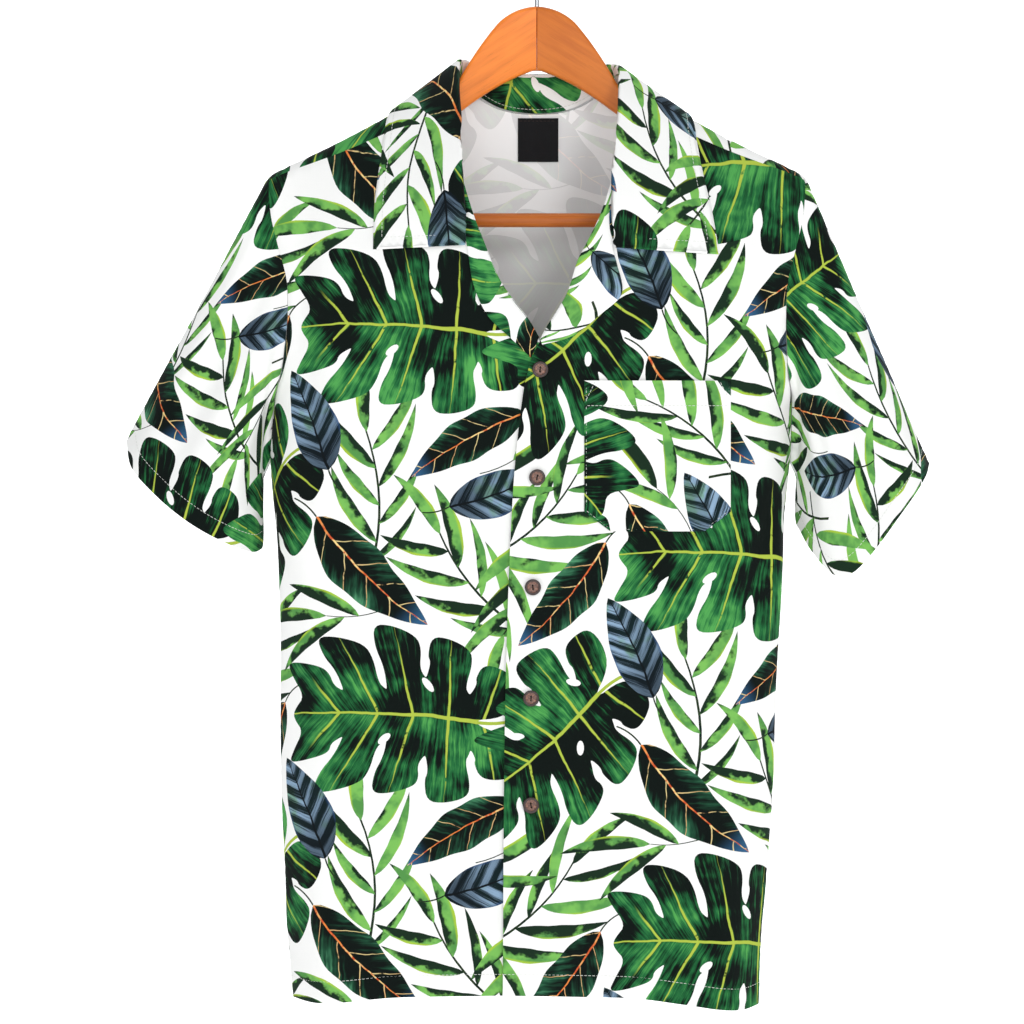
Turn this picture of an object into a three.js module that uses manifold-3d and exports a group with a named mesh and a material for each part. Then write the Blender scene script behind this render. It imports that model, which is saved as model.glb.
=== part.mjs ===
// A short-sleeved hawaiian shirt with a camp collar, hanging on a flat wooden hanger.
// Millimetres. +X is the wearer's left, +Y is behind the shirt, +Z is up.
// The origin is the inside top of the hook, where a rail carries the hanger.
import * as THREE from "three";
import { mergeVertices } from "three/addons/utils/BufferGeometryUtils.js";
import Module from "manifold-3d";

// Cloth
const WALL = 1.2;
const SEAM_GAP = 0.3;
const SHOULDER_GAP = 0.9;
const STACK = WALL + SEAM_GAP;
const LAP_LIFT = 1.9;
const LAP_FADE = 30;
const LAP_MARGIN = 4;

// Body of the shirt
const BODY_Y = -22;
const FRONT_DEPTH = 52;
const BACK_DEPTH = 48;
const BOW = 6;
const END_REACH = 75;
const TUCK_START = 0.86;
const RIDGE_RADIUS = 10;
const RIDGE_EASE = 25;
const SHOULDER_FADE = 170;
const SHOULDER_EASE = 2.2;
const UNDERARM_Z = -439;
const V_BOTTOM = -341;
const HEM_Z = -880;
const SHOULDER_TIP = 219;
const NECK_POINT = 75;

// Hanger
const ARM_ANGLE = THREE.MathUtils.degToRad(9);
const ARM_THICKNESS = 12;
const ARM_BEVEL = 3;
const ARM_CLEARANCE = 1;
const ARM_NECK_DIP = 8;
const ARM_END = 213;
const BAR_Z = -240;
const BAR_RADIUS = 5.8;
const BAR_REACH = 186;
const SOCKET_RADIUS = 6.1;
const HOOK_RADIUS = 20;
const HOOK_WIRE = 1.9;
const STEM_BOTTOM = -88;

// Buttons and label
const BUTTON_RADIUS = 6.6;
const BUTTON_THICKNESS = 2.6;
const BUTTON_HOLE_RADIUS = 0.9;
const BUTTON_HOLE_SPREAD = 1.7;
const BUTTON_RISE = 0.5;
const LABEL_THICKNESS = 0.8;

// Top of the shoulder, out from the middle of the neck
const SHOULDER = [
  { x: 0, z: -95 },
  { x: 45, z: -105 },
  { x: 60, z: -112 },
  { x: 70, z: -120.5 },
  { x: 80, z: -129 },
  { x: 105, z: -144 },
  { x: 128, z: -157 },
  { x: 160, z: -174.5 },
  { x: 185, z: -187 },
  { x: 208, z: -198 },
  { x: 222, z: -206 },
  { x: 240, z: -218 },
];

// Level rings round the body: half width, sideways lean, growth in depth, inward tuck of the side seams
const RINGS = [
  { z: -885, half: 197, lean: -9, depth: 1.16, tuck: 17 },
  { z: -820, half: 202, lean: -10.5, depth: 1.14, tuck: 20 },
  { z: -790, half: 204, lean: -9.5, depth: 1.12, tuck: 20 },
  { z: -700, half: 209.5, lean: -8, depth: 1.08, tuck: 20 },
  { z: -610, half: 211, lean: -7, depth: 1.05, tuck: 18 },
  { z: -516, half: 213, lean: -6, depth: 1.02, tuck: 8 },
  { z: -440, half: 213.5, lean: -5.5, depth: 1, tuck: 0 },
  { z: -390, half: 214.5, lean: -3, depth: 1, tuck: 0 },
  { z: -310, half: 222, lean: 0, depth: 1, tuck: 0 },
  { z: -215, half: 232, lean: 0, depth: 1, tuck: 0 },
  { z: -90, half: 236, lean: 0, depth: 1, tuck: 0 },
];

// The armhole seam, as a share of the way round from the centre line to the side seam
const ARMHOLE = [
  { z: -439, share: 1 },
  { z: -425, share: 0.985 },
  { z: -408, share: 0.965 },
  { z: -390, share: 0.94 },
  { z: -367, share: 0.875 },
  { z: -345, share: 0.845 },
  { z: -325, share: 0.826 },
  { z: -291, share: 0.815 },
  { z: -260, share: 0.84 },
  { z: -237, share: 0.858 },
  { z: -215, share: 0.86 },
  { z: -195, share: 0.852 },
];

// Hem line by distance from the middle
const FRONT_HEM = [
  { x: -208, z: -875.5 },
  { x: -180, z: -881 },
  { x: -119, z: -876.5 },
  { x: -25, z: -874 },
  { x: 48, z: -875.5 },
  { x: 80, z: -877 },
  { x: 120, z: -882 },
  { x: 166, z: -887 },
  { x: 188, z: -881 },
];
const BACK_HEM = [
  { x: -208, z: -875.5 },
  { x: -150, z: -880 },
  { x: -60, z: -876 },
  { x: 60, z: -877 },
  { x: 140, z: -884 },
  { x: 188, z: -881 },
];

// Soft folds of the body: x where the fold stands at the hem, and how far up it reaches
const FRONT_FOLDS = [
  { x: -172, drift: -0.02, width: 22, height: 7, top: -560 },
  { x: -112, drift: 0.03, width: 26, height: -5, top: -620 },
  { x: 92, drift: 0.04, width: 28, height: -5, top: -600 },
  { x: 156, drift: -0.05, width: 24, height: 8, top: -520 },
];
const BACK_FOLDS = [
  { x: -150, drift: -0.02, width: 22, height: 8, top: -400 },
  { x: -98, drift: 0.02, width: 21, height: -8, top: -370 },
  { x: -40, drift: 0.05, width: 23, height: 7, top: -330 },
  { x: 22, drift: -0.02, width: 22, height: -7, top: -350 },
  { x: 84, drift: -0.04, width: 22, height: 8, top: -340 },
  { x: 140, drift: 0.02, width: 20, height: -7, top: -420 },
];

// Neck edge of each front, from the point of the V up to the shoulder seam
const NECK_EDGE_LEFT = [
  { z: V_BOTTOM, x: 2.5 },
  { z: -329, x: 8.2 },
  { z: -305, x: 23 },
  { z: -292, x: 28 },
  { z: -274, x: 33.6 },
  { z: -249, x: 46.7 },
  { z: -225, x: 56 },
  { z: -198, x: 64.8 },
  { z: -170, x: 70 },
  { z: -144, x: 75 },
];
const NECK_EDGE_RIGHT = [
  { z: V_BOTTOM, x: 2.5 },
  { z: -323, x: -7.4 },
  { z: -307, x: -19.7 },
  { z: -290, x: -31 },
  { z: -260, x: -43.5 },
  { z: -239, x: -51.7 },
  { z: -215, x: -60.7 },
  { z: -190, x: -66 },
  { z: -168, x: -70 },
  { z: -144, x: -75 },
];

// Front edges below the V: the visible one, and the covered one of the front below
const OVERLAP_EDGE = [
  { z: -890, x: -28 },
  { z: -640, x: -26 },
  { z: -470, x: -20 },
  { z: -388, x: -12 },
  { z: -356, x: -5 },
  { z: V_BOTTOM, x: 2.5 },
];
const UNDERLAP_EDGE = [
  { z: -890, x: 12 },
  { z: -470, x: 14 },
  { z: -388, x: 15 },
  { z: -362, x: 10 },
  { z: V_BOTTOM, x: 2.5 },
];

// Neckline of the back, measured over the shoulder ridge
const BACK_NECK = [
  { x: 0, z: -150 },
  { x: 18, z: -149 },
  { x: 35, z: -144.5 },
  { x: 50, z: -136.5 },
  { x: 60, z: -128.5 },
  { x: 69, z: -118.5 },
  { x: 75, z: -104.5 },
];
const SEAM_FORWARD = [
  { x: 75, forward: 20 },
  { x: 130, forward: 17 },
  { x: 219, forward: 8 },
];

// Rows of the panels by distance from their top edge, and columns of the back by distance from the middle
const NEAR_TOP = [0, 4, 8, 12, 16, 20, 25, 31, 40, 54, 74, 100];
const ROW_STEP = 34;
const PANEL_LENGTH = 700;
const BACK_COLUMNS = [219, 215.7, 210, 201, 188, 170, 150, 128, 106, 88, 75, 69, 60, 48, 32, 16, 0];
const FRONT_COLUMNS = [0, 0.09, 0.18, 0.27, 0.36, 0.45, 0.54, 0.63, 0.71, 0.78, 0.84, 0.89, 0.93, 0.96, 0.985, 1];

// Collar: where it is sewn, where it rolls over and where it ends, from the front end to the middle back.
// Side is -1 on the front, 1 on the back and 0 on top of the shoulder.
const COLLAR_RIGHT = [
  { seam: [-59, -260.5, 4.6], roll: [-57.4, -85, -262], edge: [-133.5, -265], side: -1 },
  { seam: [-62, -228, 4.6], roll: [-58, -84, -230], edge: [-132.8, -231], side: -1 },
  { seam: [-65, -196, 3.6], roll: [-59.5, -73, -195], edge: [-130, -205], side: -1 },
  { seam: [-70, -165, 0], roll: [-60.6, -47, -160], edge: [-127, -184], side: -1 },
  { seam: [-72.5, -138, 0], roll: [-61.5, -31, -127], edge: [-125, -169], side: -1 },
  { seam: [-68.5, -119, 0], roll: [-62.5, -13, -106], edge: [-121, -151], side: 0 },
  { seam: [-60, -126, 0.3], roll: [-57.5, 3, -103], edge: [-112, -160], side: 1 },
  { seam: [-48, -136, 0.3], roll: [-45, 9, -106], edge: [-92, -169], side: 1 },
  { seam: [-28, -146.5, 0], roll: [-27, 13, -110], edge: [-55, -178], side: 1 },
];
const COLLAR_MIDDLE = { seam: [0, -150, 0], roll: [0, 14, -112], edge: [0, -182], side: 1 };
const COLLAR_LEFT = [
  { seam: [28, -146.5, 0], roll: [28, 13, -110], edge: [57, -178], side: 1 },
  { seam: [48, -136, 0.3], roll: [48, 9, -107], edge: [96, -170], side: 1 },
  { seam: [60, -126, 0.3], roll: [61, 2, -107], edge: [117, -163], side: 1 },
  { seam: [68.5, -119, 0], roll: [67, -14, -112], edge: [127, -154], side: 0 },
  { seam: [72.5, -138, 0], roll: [65.5, -31, -130], edge: [130.5, -173], side: -1 },
  { seam: [70, -165, 0], roll: [64.5, -47, -162], edge: [133, -188], side: -1 },
  { seam: [65, -196, 3.6], roll: [61, -73, -196], edge: [137, -208], side: -1 },
  { seam: [64, -230, 4.6], roll: [60.5, -84, -232], edge: [143, -235], side: -1 },
  { seam: [64, -262.5, 4.6], roll: [62.5, -85, -264], edge: [148.4, -269], side: -1 },
];
const COLLAR_STEPS = 3;
const FALL_SHARES = [0.12, 0.3, 0.52, 0.76, 1];
const COLLAR_LIFT = 2.6;
const COLLAR_ROLL_LIFT = 6;
const SLOPE = 1.12;

// Turned-back lapels: inner edge on the V, outer edge on the front
const LAPEL_RIGHT = [
  { inner: [-61.5, -207], outer: [-70, -205] },
  { inner: [-51.7, -239], outer: [-64, -236] },
  { inner: [-43.5, -260], outer: [-57.4, -262] },
  { inner: [-31, -290], outer: [-51.7, -295.5] },
  { inner: [-19.7, -307], outer: [-40, -320.5] },
  { inner: [-7.4, -323], outer: [-21, -339] },
  { inner: [1.5, -338], outer: [-5, -354.5] },
];
const LAPEL_LEFT = [
  { inner: [64.8, -198], outer: [76, -201] },
  { inner: [50.8, -240], outer: [67, -238] },
  { inner: [40, -262], outer: [61.5, -264] },
  { inner: [33.6, -274], outer: [64.8, -277] },
  { inner: [28, -292], outer: [69, -302] },
  { inner: [23, -305], outer: [53, -318] },
  { inner: [8.2, -329], outer: [26, -338] },
  { inner: [2.5, -339.5], outer: [4, -343.5] },
];
const LAPEL_STEPS = 2;
const LAPEL_COLUMNS = 4;
const LAPEL_INNER_LIFT = 2.1;
const LAPEL_OUTER_LIFT = 2.6;

// Cuffs of the sleeves, front half then back half, from the outer corner to the underarm
const CUFF_RIGHT = {
  front: [[-338, -24, -421], [-331, -44, -446], [-293, -62, -483], [-260, -60, -503], [-234, -44, -513], [-226, -24, -509]],
  back: [[-338, -24, -421], [-325, -2, -424], [-290, 14, -445], [-255, 16, -470], [-233, 4, -494], [-226, -24, -509]],
};
const CUFF_LEFT = {
  front: [[323, -24, -440], [318, -44, -452], [292, -64, -490], [259, -70, -529], [246, -66, -533], [226, -50, -513], [213, -26, -487]],
  back: [[323, -24, -440], [312, -4, -441], [282, 12, -455], [245, 14, -478], [222, 0, -486], [213, -26, -487]],
};
const SLEEVE_AROUND = 15;
const SLEEVE_ALONG = 9;
const SLEEVE_START = 1.8;
const SLEEVE_PUSH = 0.35;

// Pocket on the wearer's left chest
const POCKET = { left: 38.5, right: 158, top: -373, side: -480, bottom: -496, cut: 21.5 };
const POCKET_COLUMNS = [0, 0.09, 0.18, 0.35, 0.5, 0.65, 0.82, 0.91, 1];
const POCKET_ROWS = 8;
const POCKET_LIFT = 1.7;
const POCKET_GAPE = 1.6;

// Button places and the label inside the neck
const BUTTONS = [
  { x: 2.5, z: -364 },
  { x: 0, z: -452 },
  { x: -3.5, z: -541.5 },
  { x: -5, z: -632 },
  { x: -5, z: -719 },
];
const LABEL = { left: -15.6, right: 18, top: -153, bottom: -189 };

const PRINT = 0xe9ebe2;
const INSIDE_OUT = 0xdfe3df;
const WOOD_LIGHT = 0xe0813a;
const WOOD_DARK = 0xc86a2c;

const wasm = await Module();
wasm.setup();

const clamp = THREE.MathUtils.clamp;
const mix = THREE.MathUtils.lerp;

function smooth(amount) {
  const t = clamp(amount, 0, 1);
  return t * t * (3 - 2 * t);
}

// Smooth reading of one column of a table whose key rises or falls steadily
function read(table, key, field, at) {
  const rows = table[0][key] < table.at(-1)[key] ? table : [...table].reverse();
  const x = clamp(at, rows[0][key], rows.at(-1)[key]);
  let i = 0;
  while (i < rows.length - 2 && x > rows[i + 1][key]) i += 1;
  const slope = (k) => {
    const a = rows[Math.max(k - 1, 0)];
    const b = rows[Math.min(k + 1, rows.length - 1)];
    return (b[field] - a[field]) / (b[key] - a[key]);
  };
  const span = rows[i + 1][key] - rows[i][key];
  const t = (x - rows[i][key]) / span;
  const rise = rows[i + 1][field] - rows[i][field];
  const first = slope(i) * span;
  const last = slope(i + 1) * span;
  const bend = (first * (1 - t) - last * t + rise * (2 * t - 1)) * t * (1 - t);
  return rows[i][field] + rise * t + bend;
}

const ridgeZ = (x) => read(SHOULDER, "x", "z", Math.abs(x));
const ridgeY = (x) => -Math.hypot(x, RIDGE_EASE) * Math.tan(ARM_ANGLE);

function ringAt(z) {
  const ring = {};
  for (const field of ["half", "lean", "depth", "tuck"]) ring[field] = read(RINGS, "z", field, z);
  return ring;
}

function ringParts(side, z) {
  const ring = ringAt(z);
  const depth = (side < 0 ? FRONT_DEPTH : BACK_DEPTH) * ring.depth;
  const flat = ring.half - END_REACH;
  const arc = (Math.PI / 2) * Math.sqrt((END_REACH ** 2 + depth ** 2) / 2);
  return { ring, depth, flat, knee: flat / (flat + arc) };
}

// Sideways place and full depth of the point at a signed share round the ring
function around(side, share, z) {
  const { ring, depth, flat, knee } = ringParts(side, z);
  const reach = Math.abs(share);
  if (reach <= knee) {
    const bow = BOW * Math.cos(((Math.PI / 2) * reach) / knee) ** 2;
    return { x: ring.lean + (flat * share) / knee, depth: depth + bow };
  }
  const turn = ((reach - knee) / (1 - knee)) * (Math.PI / 2);
  const tuck = ring.tuck * smooth((reach - TUCK_START) / (1 - TUCK_START));
  const x = flat + END_REACH * Math.sin(turn) - tuck;
  return { x: ring.lean + Math.sign(share) * x, depth: depth * Math.cos(turn) };
}

function shareAt(side, x, z) {
  const { ring, flat, knee } = ringParts(side, z);
  const out = Math.abs(x - ring.lean);
  const sign = Math.sign(x - ring.lean);
  if (out <= flat) return (sign * knee * out) / flat;
  const turn = Math.asin(clamp((out - flat) / END_REACH, -1, 1));
  return sign * (knee + (1 - knee) * (turn / (Math.PI / 2)));
}

function foldLift(side, x, z) {
  let lift = 0;
  for (const fold of side < 0 ? FRONT_FOLDS : BACK_FOLDS) {
    const middle = fold.x + fold.drift * (z - HEM_Z);
    const grow = smooth((fold.top - z) / (fold.top - HEM_Z));
    lift += fold.height * grow * Math.exp(-(((x - middle) / fold.width) ** 2));
  }
  return lift;
}

// The left front rises over the right one where they lap
function lapLift(x, z) {
  const end = read(UNDERLAP_EDGE, "z", "x", z) + LAP_MARGIN + LAP_FADE;
  return LAP_LIFT * smooth((end - x) / LAP_FADE);
}

// How far the cloth has come out to its full depth below the shoulder
const swellAt = (fall) => 1 - (1 - clamp(fall / SHOULDER_FADE, 0, 1)) ** SHOULDER_EASE;

// A point of the body cloth: above the ridge line the sheet comes down on the other side
function bodyPoint(side, share, z, lift = 0) {
  const place = around(side, share, z);
  const drop = ridgeZ(place.x) - z;
  const face = drop < 0 ? -side : side;
  const below = Math.abs(drop);
  const radius = RIDGE_RADIUS + lift;
  const quarter = (Math.PI / 2) * RIDGE_RADIUS;
  const along = below + (quarter - RIDGE_RADIUS) * smooth(below / 40);
  const over = Math.min(along / RIDGE_RADIUS, Math.PI / 2);
  const fall = RIDGE_RADIUS * (1 - Math.cos(over)) + Math.max(along - quarter, 0);
  const swell = swellAt(fall);
  const depth = radius * Math.sin(over) + Math.max(place.depth - RIDGE_RADIUS, 0) * swell;
  const folds = foldLift(face, place.x, z) * clamp(place.depth / 20, 0, 1);
  const shrink = Math.min(place.depth / RIDGE_RADIUS, 1);
  const y = mix(ridgeY(place.x), BODY_Y, swell) + face * (depth * shrink + folds);
  return new THREE.Vector3(place.x, y, ridgeZ(place.x) - fall + lift * Math.cos(over));
}

// Depth of the cloth's face at a place seen from the front or back
function faceY(side, x, z, lift = 0) {
  const ridge = ridgeZ(x) + lift;
  const fall = Math.max(ridge - z, 0);
  const radius = RIDGE_RADIUS + lift;
  const bend = fall < radius ? Math.sqrt(1 - (1 - fall / radius) ** 2) : 1;
  const swell = swellAt(fall - lift);
  const place = around(side, shareAt(side, x, z), z);
  const depth = radius * bend + Math.max(place.depth - RIDGE_RADIUS, 0) * swell;
  const folds = foldLift(side, x, z) * clamp(place.depth / 20, 0, 1);
  return mix(ridgeY(x), BODY_Y, swell) + side * (depth + folds);
}

// Closed wall round a grid of points on its middle surface
function shell(rows, wall = WALL, ringClosed = false) {
  const high = rows.length;
  const wide = rows[0].length;
  const col = (j) => (ringClosed ? (j + wide) % wide : clamp(j, 0, wide - 1));
  const row = (i) => clamp(i, 0, high - 1);
  const positions = [];
  for (let i = 0; i < high; i += 1) {
    for (let j = 0; j < wide; j += 1) {
      const across = new THREE.Vector3().subVectors(rows[i][col(j + 1)], rows[i][col(j - 1)]);
      const up = new THREE.Vector3().subVectors(rows[row(i + 1)][j], rows[row(i - 1)][j]);
      const normal = across.cross(up).normalize().multiplyScalar(wall / 2);
      positions.push(...rows[i][j].clone().add(normal).toArray());
      positions.push(...rows[i][j].clone().sub(normal).toArray());
    }
  }
  const at = (i, j, face) => (i * wide + col(j)) * 2 + face;
  const index = [];
  const quad = (a, b, c, d) => index.push(a, b, c, a, c, d);
  const lastColumn = ringClosed ? wide : wide - 1;
  for (let i = 0; i < high - 1; i += 1) {
    for (let j = 0; j < lastColumn; j += 1) {
      quad(at(i, j, 0), at(i, j + 1, 0), at(i + 1, j + 1, 0), at(i + 1, j, 0));
      quad(at(i, j, 1), at(i + 1, j, 1), at(i + 1, j + 1, 1), at(i, j + 1, 1));
    }
  }
  for (let j = 0; j < lastColumn; j += 1) {
    quad(at(0, j, 1), at(0, j + 1, 1), at(0, j + 1, 0), at(0, j, 0));
    quad(at(high - 1, j, 0), at(high - 1, j + 1, 0), at(high - 1, j + 1, 1), at(high - 1, j, 1));
  }
  if (!ringClosed) {
    for (let i = 0; i < high - 1; i += 1) {
      quad(at(i, 0, 0), at(i + 1, 0, 0), at(i + 1, 0, 1), at(i, 0, 1));
      quad(at(i, wide - 1, 1), at(i + 1, wide - 1, 1), at(i + 1, wide - 1, 0), at(i, wide - 1, 0));
    }
  }
  const geometry = new THREE.BufferGeometry();
  geometry.setAttribute("position", new THREE.Float32BufferAttribute(positions, 3));
  geometry.setIndex(index);
  return facingOut(geometry);
}

function facingOut(geometry) {
  const p = geometry.getAttribute("position");
  const index = geometry.index.array;
  const [a, b, c] = [new THREE.Vector3(), new THREE.Vector3(), new THREE.Vector3()];
  let volume = 0;
  for (let i = 0; i < index.length; i += 3) {
    a.fromBufferAttribute(p, index[i]);
    b.fromBufferAttribute(p, index[i + 1]);
    c.fromBufferAttribute(p, index[i + 2]);
    volume += a.dot(b.cross(c));
  }
  if (volume < 0) {
    for (let i = 0; i < index.length; i += 3) {
      [index[i + 1], index[i + 2]] = [index[i + 2], index[i + 1]];
    }
  }
  geometry.computeVertexNormals();
  return geometry;
}

// Patch between four edges, each a function from 0 to 1, in share and height
function patch(edges, across, up) {
  const corner = [edges.inner(0), edges.outer(0), edges.inner(1), edges.outer(1)];
  return up.map((w) =>
    across.map((u) => {
      const [inner, outer, bottom, top] = [edges.inner(w), edges.outer(w), edges.bottom(u), edges.top(u)];
      const value = (k) => {
        const sides = mix(inner[k], outer[k], u) + mix(bottom[k], top[k], w);
        const plane = mix(mix(corner[0][k], corner[1][k], u), mix(corner[2][k], corner[3][k], u), w);
        return sides - plane;
      };
      return [value(0), value(1)];
    }),
  );
}

function rowShares() {
  const distances = [...NEAR_TOP];
  for (let at = NEAR_TOP.at(-1) + ROW_STEP; at < PANEL_LENGTH - ROW_STEP / 2; at += ROW_STEP) distances.push(at);
  distances.push(PANEL_LENGTH);
  return distances.map((distance) => 1 - distance / PANEL_LENGTH).reverse();
}

const evenly = (count) => Array.from({ length: count }, (_, i) => i / (count - 1));

const seamForward = (x) => read(SEAM_FORWARD, "x", "forward", Math.abs(x));

function frontEdgeX(hand, z) {
  const isLeft = hand > 0;
  if (z > V_BOTTOM) return read(isLeft ? NECK_EDGE_LEFT : NECK_EDGE_RIGHT, "z", "x", z);
  return read(isLeft ? OVERLAP_EDGE : UNDERLAP_EDGE, "z", "x", z);
}

function outerShare(z) {
  return z < UNDERARM_Z ? 1 : read(ARMHOLE, "z", "share", z);
}

// One front: hand is +1 for the wearer's left front, which laps over the right one
function frontPanel(hand) {
  const topZ = (x) => ridgeZ(x) - seamForward(x) - SHOULDER_GAP / 2;
  const tipTop = topZ(SHOULDER_TIP);
  const hem = (share) => read(FRONT_HEM, "x", "z", around(-1, share, HEM_Z).x);
  const hemInner = shareAt(-1, frontEdgeX(hand, HEM_Z), HEM_Z);
  const tip = shareAt(-1, hand * SHOULDER_TIP, tipTop);
  const edges = {
    inner: (w) => {
      const z = mix(hem(hemInner), topZ(NECK_POINT), w);
      return [shareAt(-1, frontEdgeX(hand, z), z), z];
    },
    outer: (w) => {
      const z = mix(hem(hand), tipTop, w);
      const share = w === 1 ? Math.abs(tip) : outerShare(z);
      return [hand * share, z];
    },
    bottom: (u) => [mix(hemInner, hand, u), hem(mix(hemInner, hand, u))],
    top: (u) => {
      const x = hand * mix(NECK_POINT, SHOULDER_TIP, u);
      return [shareAt(-1, x, topZ(x)), topZ(x)];
    },
  };
  const grid = patch(edges, FRONT_COLUMNS, rowShares());
  return grid.map((line) =>
    line.map(([share, z]) => {
      const point = bodyPoint(-1, share, z);
      if (hand > 0) point.y -= lapLift(point.x, z);
      if (Math.abs(share) > 0.999) point.y -= SEAM_GAP / 2;
      return point;
    }),
  );
}

function backPanel() {
  const topZ = (x) => {
    const out = Math.abs(x);
    if (out <= NECK_POINT) return read(BACK_NECK, "x", "z", out);
    return ridgeZ(out) + seamForward(out) - SHOULDER_GAP / 2;
  };
  const hem = (share) => read(BACK_HEM, "x", "z", around(1, share, HEM_Z).x);
  const tipTop = topZ(SHOULDER_TIP);
  const outer = (hand) => (w) => {
    const z = mix(hem(hand), tipTop, w);
    return [w === 1 ? shareAt(1, hand * SHOULDER_TIP, z) : hand * outerShare(z), z];
  };
  const edges = {
    inner: outer(-1),
    outer: outer(1),
    bottom: (u) => [mix(-1, 1, u), hem(mix(-1, 1, u))],
    top: (u) => {
      const x = mix(-SHOULDER_TIP, SHOULDER_TIP, u);
      return [shareAt(1, x, topZ(x)), topZ(x)];
    },
  };
  const half = BACK_COLUMNS.map((x) => (1 - x / SHOULDER_TIP) / 2);
  const columns = [...half, ...half.slice(0, -1).reverse().map((u) => 1 - u)];
  const grid = patch(edges, columns, rowShares());
  return grid.map((line) =>
    line.map(([share, z]) => {
      const point = bodyPoint(1, share, z);
      if (Math.abs(share) > 0.999) point.y += SEAM_GAP / 2;
      return point;
    }),
  );
}

// Points spread evenly along half a loop
function spread(points, count) {
  const curve = new THREE.CatmullRomCurve3(points, false, "centripetal");
  curve.arcLengthDivisions = 400;
  return curve.getSpacedPoints(count);
}

function armholeHalf(side, hand) {
  const points = [];
  for (let i = 0; i <= 24; i += 1) {
    const z = mix(ridgeZ(SHOULDER_TIP), UNDERARM_Z, i / 24);
    points.push(bodyPoint(side, hand * outerShare(z), z));
  }
  return spread(points, SLEEVE_AROUND);
}

function sleeve(hand, cuff) {
  const loop = (front, back) => [...front, ...back.slice(1, -1).reverse()];
  const armhole = loop(armholeHalf(-1, hand), armholeHalf(1, hand));
  const vectors = (points) => points.map((p) => new THREE.Vector3(...p));
  const end = loop(spread(vectors(cuff.front), SLEEVE_AROUND), spread(vectors(cuff.back), SLEEVE_AROUND));
  const rows = [];
  for (let i = 0; i <= SLEEVE_ALONG; i += 1) {
    const w = (i / SLEEVE_ALONG) ** 1.15;
    rows.push(armhole.map((from, j) => sleevePoint(hand, from, end[j], w, j / armhole.length)));
  }
  return rows;
}

function sleevePoint(hand, from, to, w, turn) {
  const chord = new THREE.Vector3().subVectors(to, from);
  const low = Math.sin(Math.PI * turn) ** 2;
  const out = new THREE.Vector3(hand, 0, 0);
  const start = chord.clone().addScaledVector(out, SLEEVE_PUSH * low * chord.length());
  const first = start.clone().normalize().multiplyScalar(SLEEVE_START);
  const begin = from.clone().add(first).addScaledVector(out, SLEEVE_START * 0.3);
  const [w2, w3] = [w * w, w * w * w];
  const point = begin.multiplyScalar(2 * w3 - 3 * w2 + 1);
  point.addScaledVector(start, w3 - 2 * w2 + w);
  point.addScaledVector(to, 3 * w2 - 2 * w3);
  point.addScaledVector(chord, w3 - w2);
  return point;
}

// Keeps a point of the collar off the cloth below it
function clearOf(point, lift) {
  const middle = new THREE.Vector2(ridgeY(point.x), ridgeZ(point.x) - RIDGE_RADIUS);
  const out = new THREE.Vector2(point.y, point.z).sub(middle);
  if (out.y > 0) {
    const bulge = FRONT_DEPTH * swellAt(RIDGE_RADIUS - out.y) * Math.abs(out.x / out.length());
    out.setLength(Math.max(out.length(), RIDGE_RADIUS + lift + bulge));
    return point.set(point.x, middle.x + out.x, middle.y + out.y);
  }
  const side = out.x < 0 ? -1 : 1;
  const least = faceY(side, point.x, point.z, 0) + side * lift * SLOPE;
  if (side * (point.y - least) < 0) point.y = least;
  return point;
}

function onBody([x, z], side, lift) {
  if (side === 0) return new THREE.Vector3(x, ridgeY(x), ridgeZ(x) + lift);
  return clearOf(new THREE.Vector3(x, ridgeY(x) + side, z), lift);
}

function collar() {
  const stations = [...COLLAR_RIGHT, COLLAR_MIDDLE, ...COLLAR_LEFT];
  const line = (make) => new THREE.CatmullRomCurve3(stations.map(make), false, "centripetal");
  const seam = line((s) => onBody(s.seam, s.side, s.seam[2]));
  const roll = line((s) => {
    const point = new THREE.Vector3(...s.roll);
    return s.side < 0 ? clearOf(point, COLLAR_ROLL_LIFT) : point;
  });
  const edge = line((s) => onBody(s.edge, s.side, COLLAR_LIFT));
  const count = (stations.length - 1) * COLLAR_STEPS;
  return evenly(count + 1).map((t) => {
    const [a, r, e] = [seam.getPoint(t), roll.getPoint(t), edge.getPoint(t)];
    const lift = mix(COLLAR_ROLL_LIFT, COLLAR_LIFT, smooth(2.2 - Math.abs(t - 0.5) * 4));
    const base = a.clone().add(r.clone().sub(a).normalize().multiplyScalar(STACK));
    const points = [base, base.clone().lerp(r, 0.5), r];
    for (const u of FALL_SHARES) {
      const away = mix(lift, COLLAR_LIFT, Math.min(u * 1.6, 1));
      points.push(clearOf(r.clone().lerp(e, u), away));
    }
    return points;
  });
}

function lapel(table, lapped) {
  const rows = [];
  for (let i = 0; i < table.length - 1; i += 1) {
    for (let k = 0; k < LAPEL_STEPS; k += 1) {
      rows.push([table[i], table[i + 1], k / LAPEL_STEPS]);
    }
  }
  rows.push([table.at(-2), table.at(-1), 1]);
  return rows.map(([from, to, t]) =>
    evenly(LAPEL_COLUMNS).map((u) => {
      const value = (k) => mix(mix(from.inner[k], to.inner[k], t), mix(from.outer[k], to.outer[k], t), u);
      const [x, z] = [value(0), value(1)];
      const lap = lapped ? lapLift(x, z) : 0;
      return new THREE.Vector3(x, faceY(-1, x, z) - mix(LAPEL_INNER_LIFT, LAPEL_OUTER_LIFT, u) - lap, z);
    }),
  );
}

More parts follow.
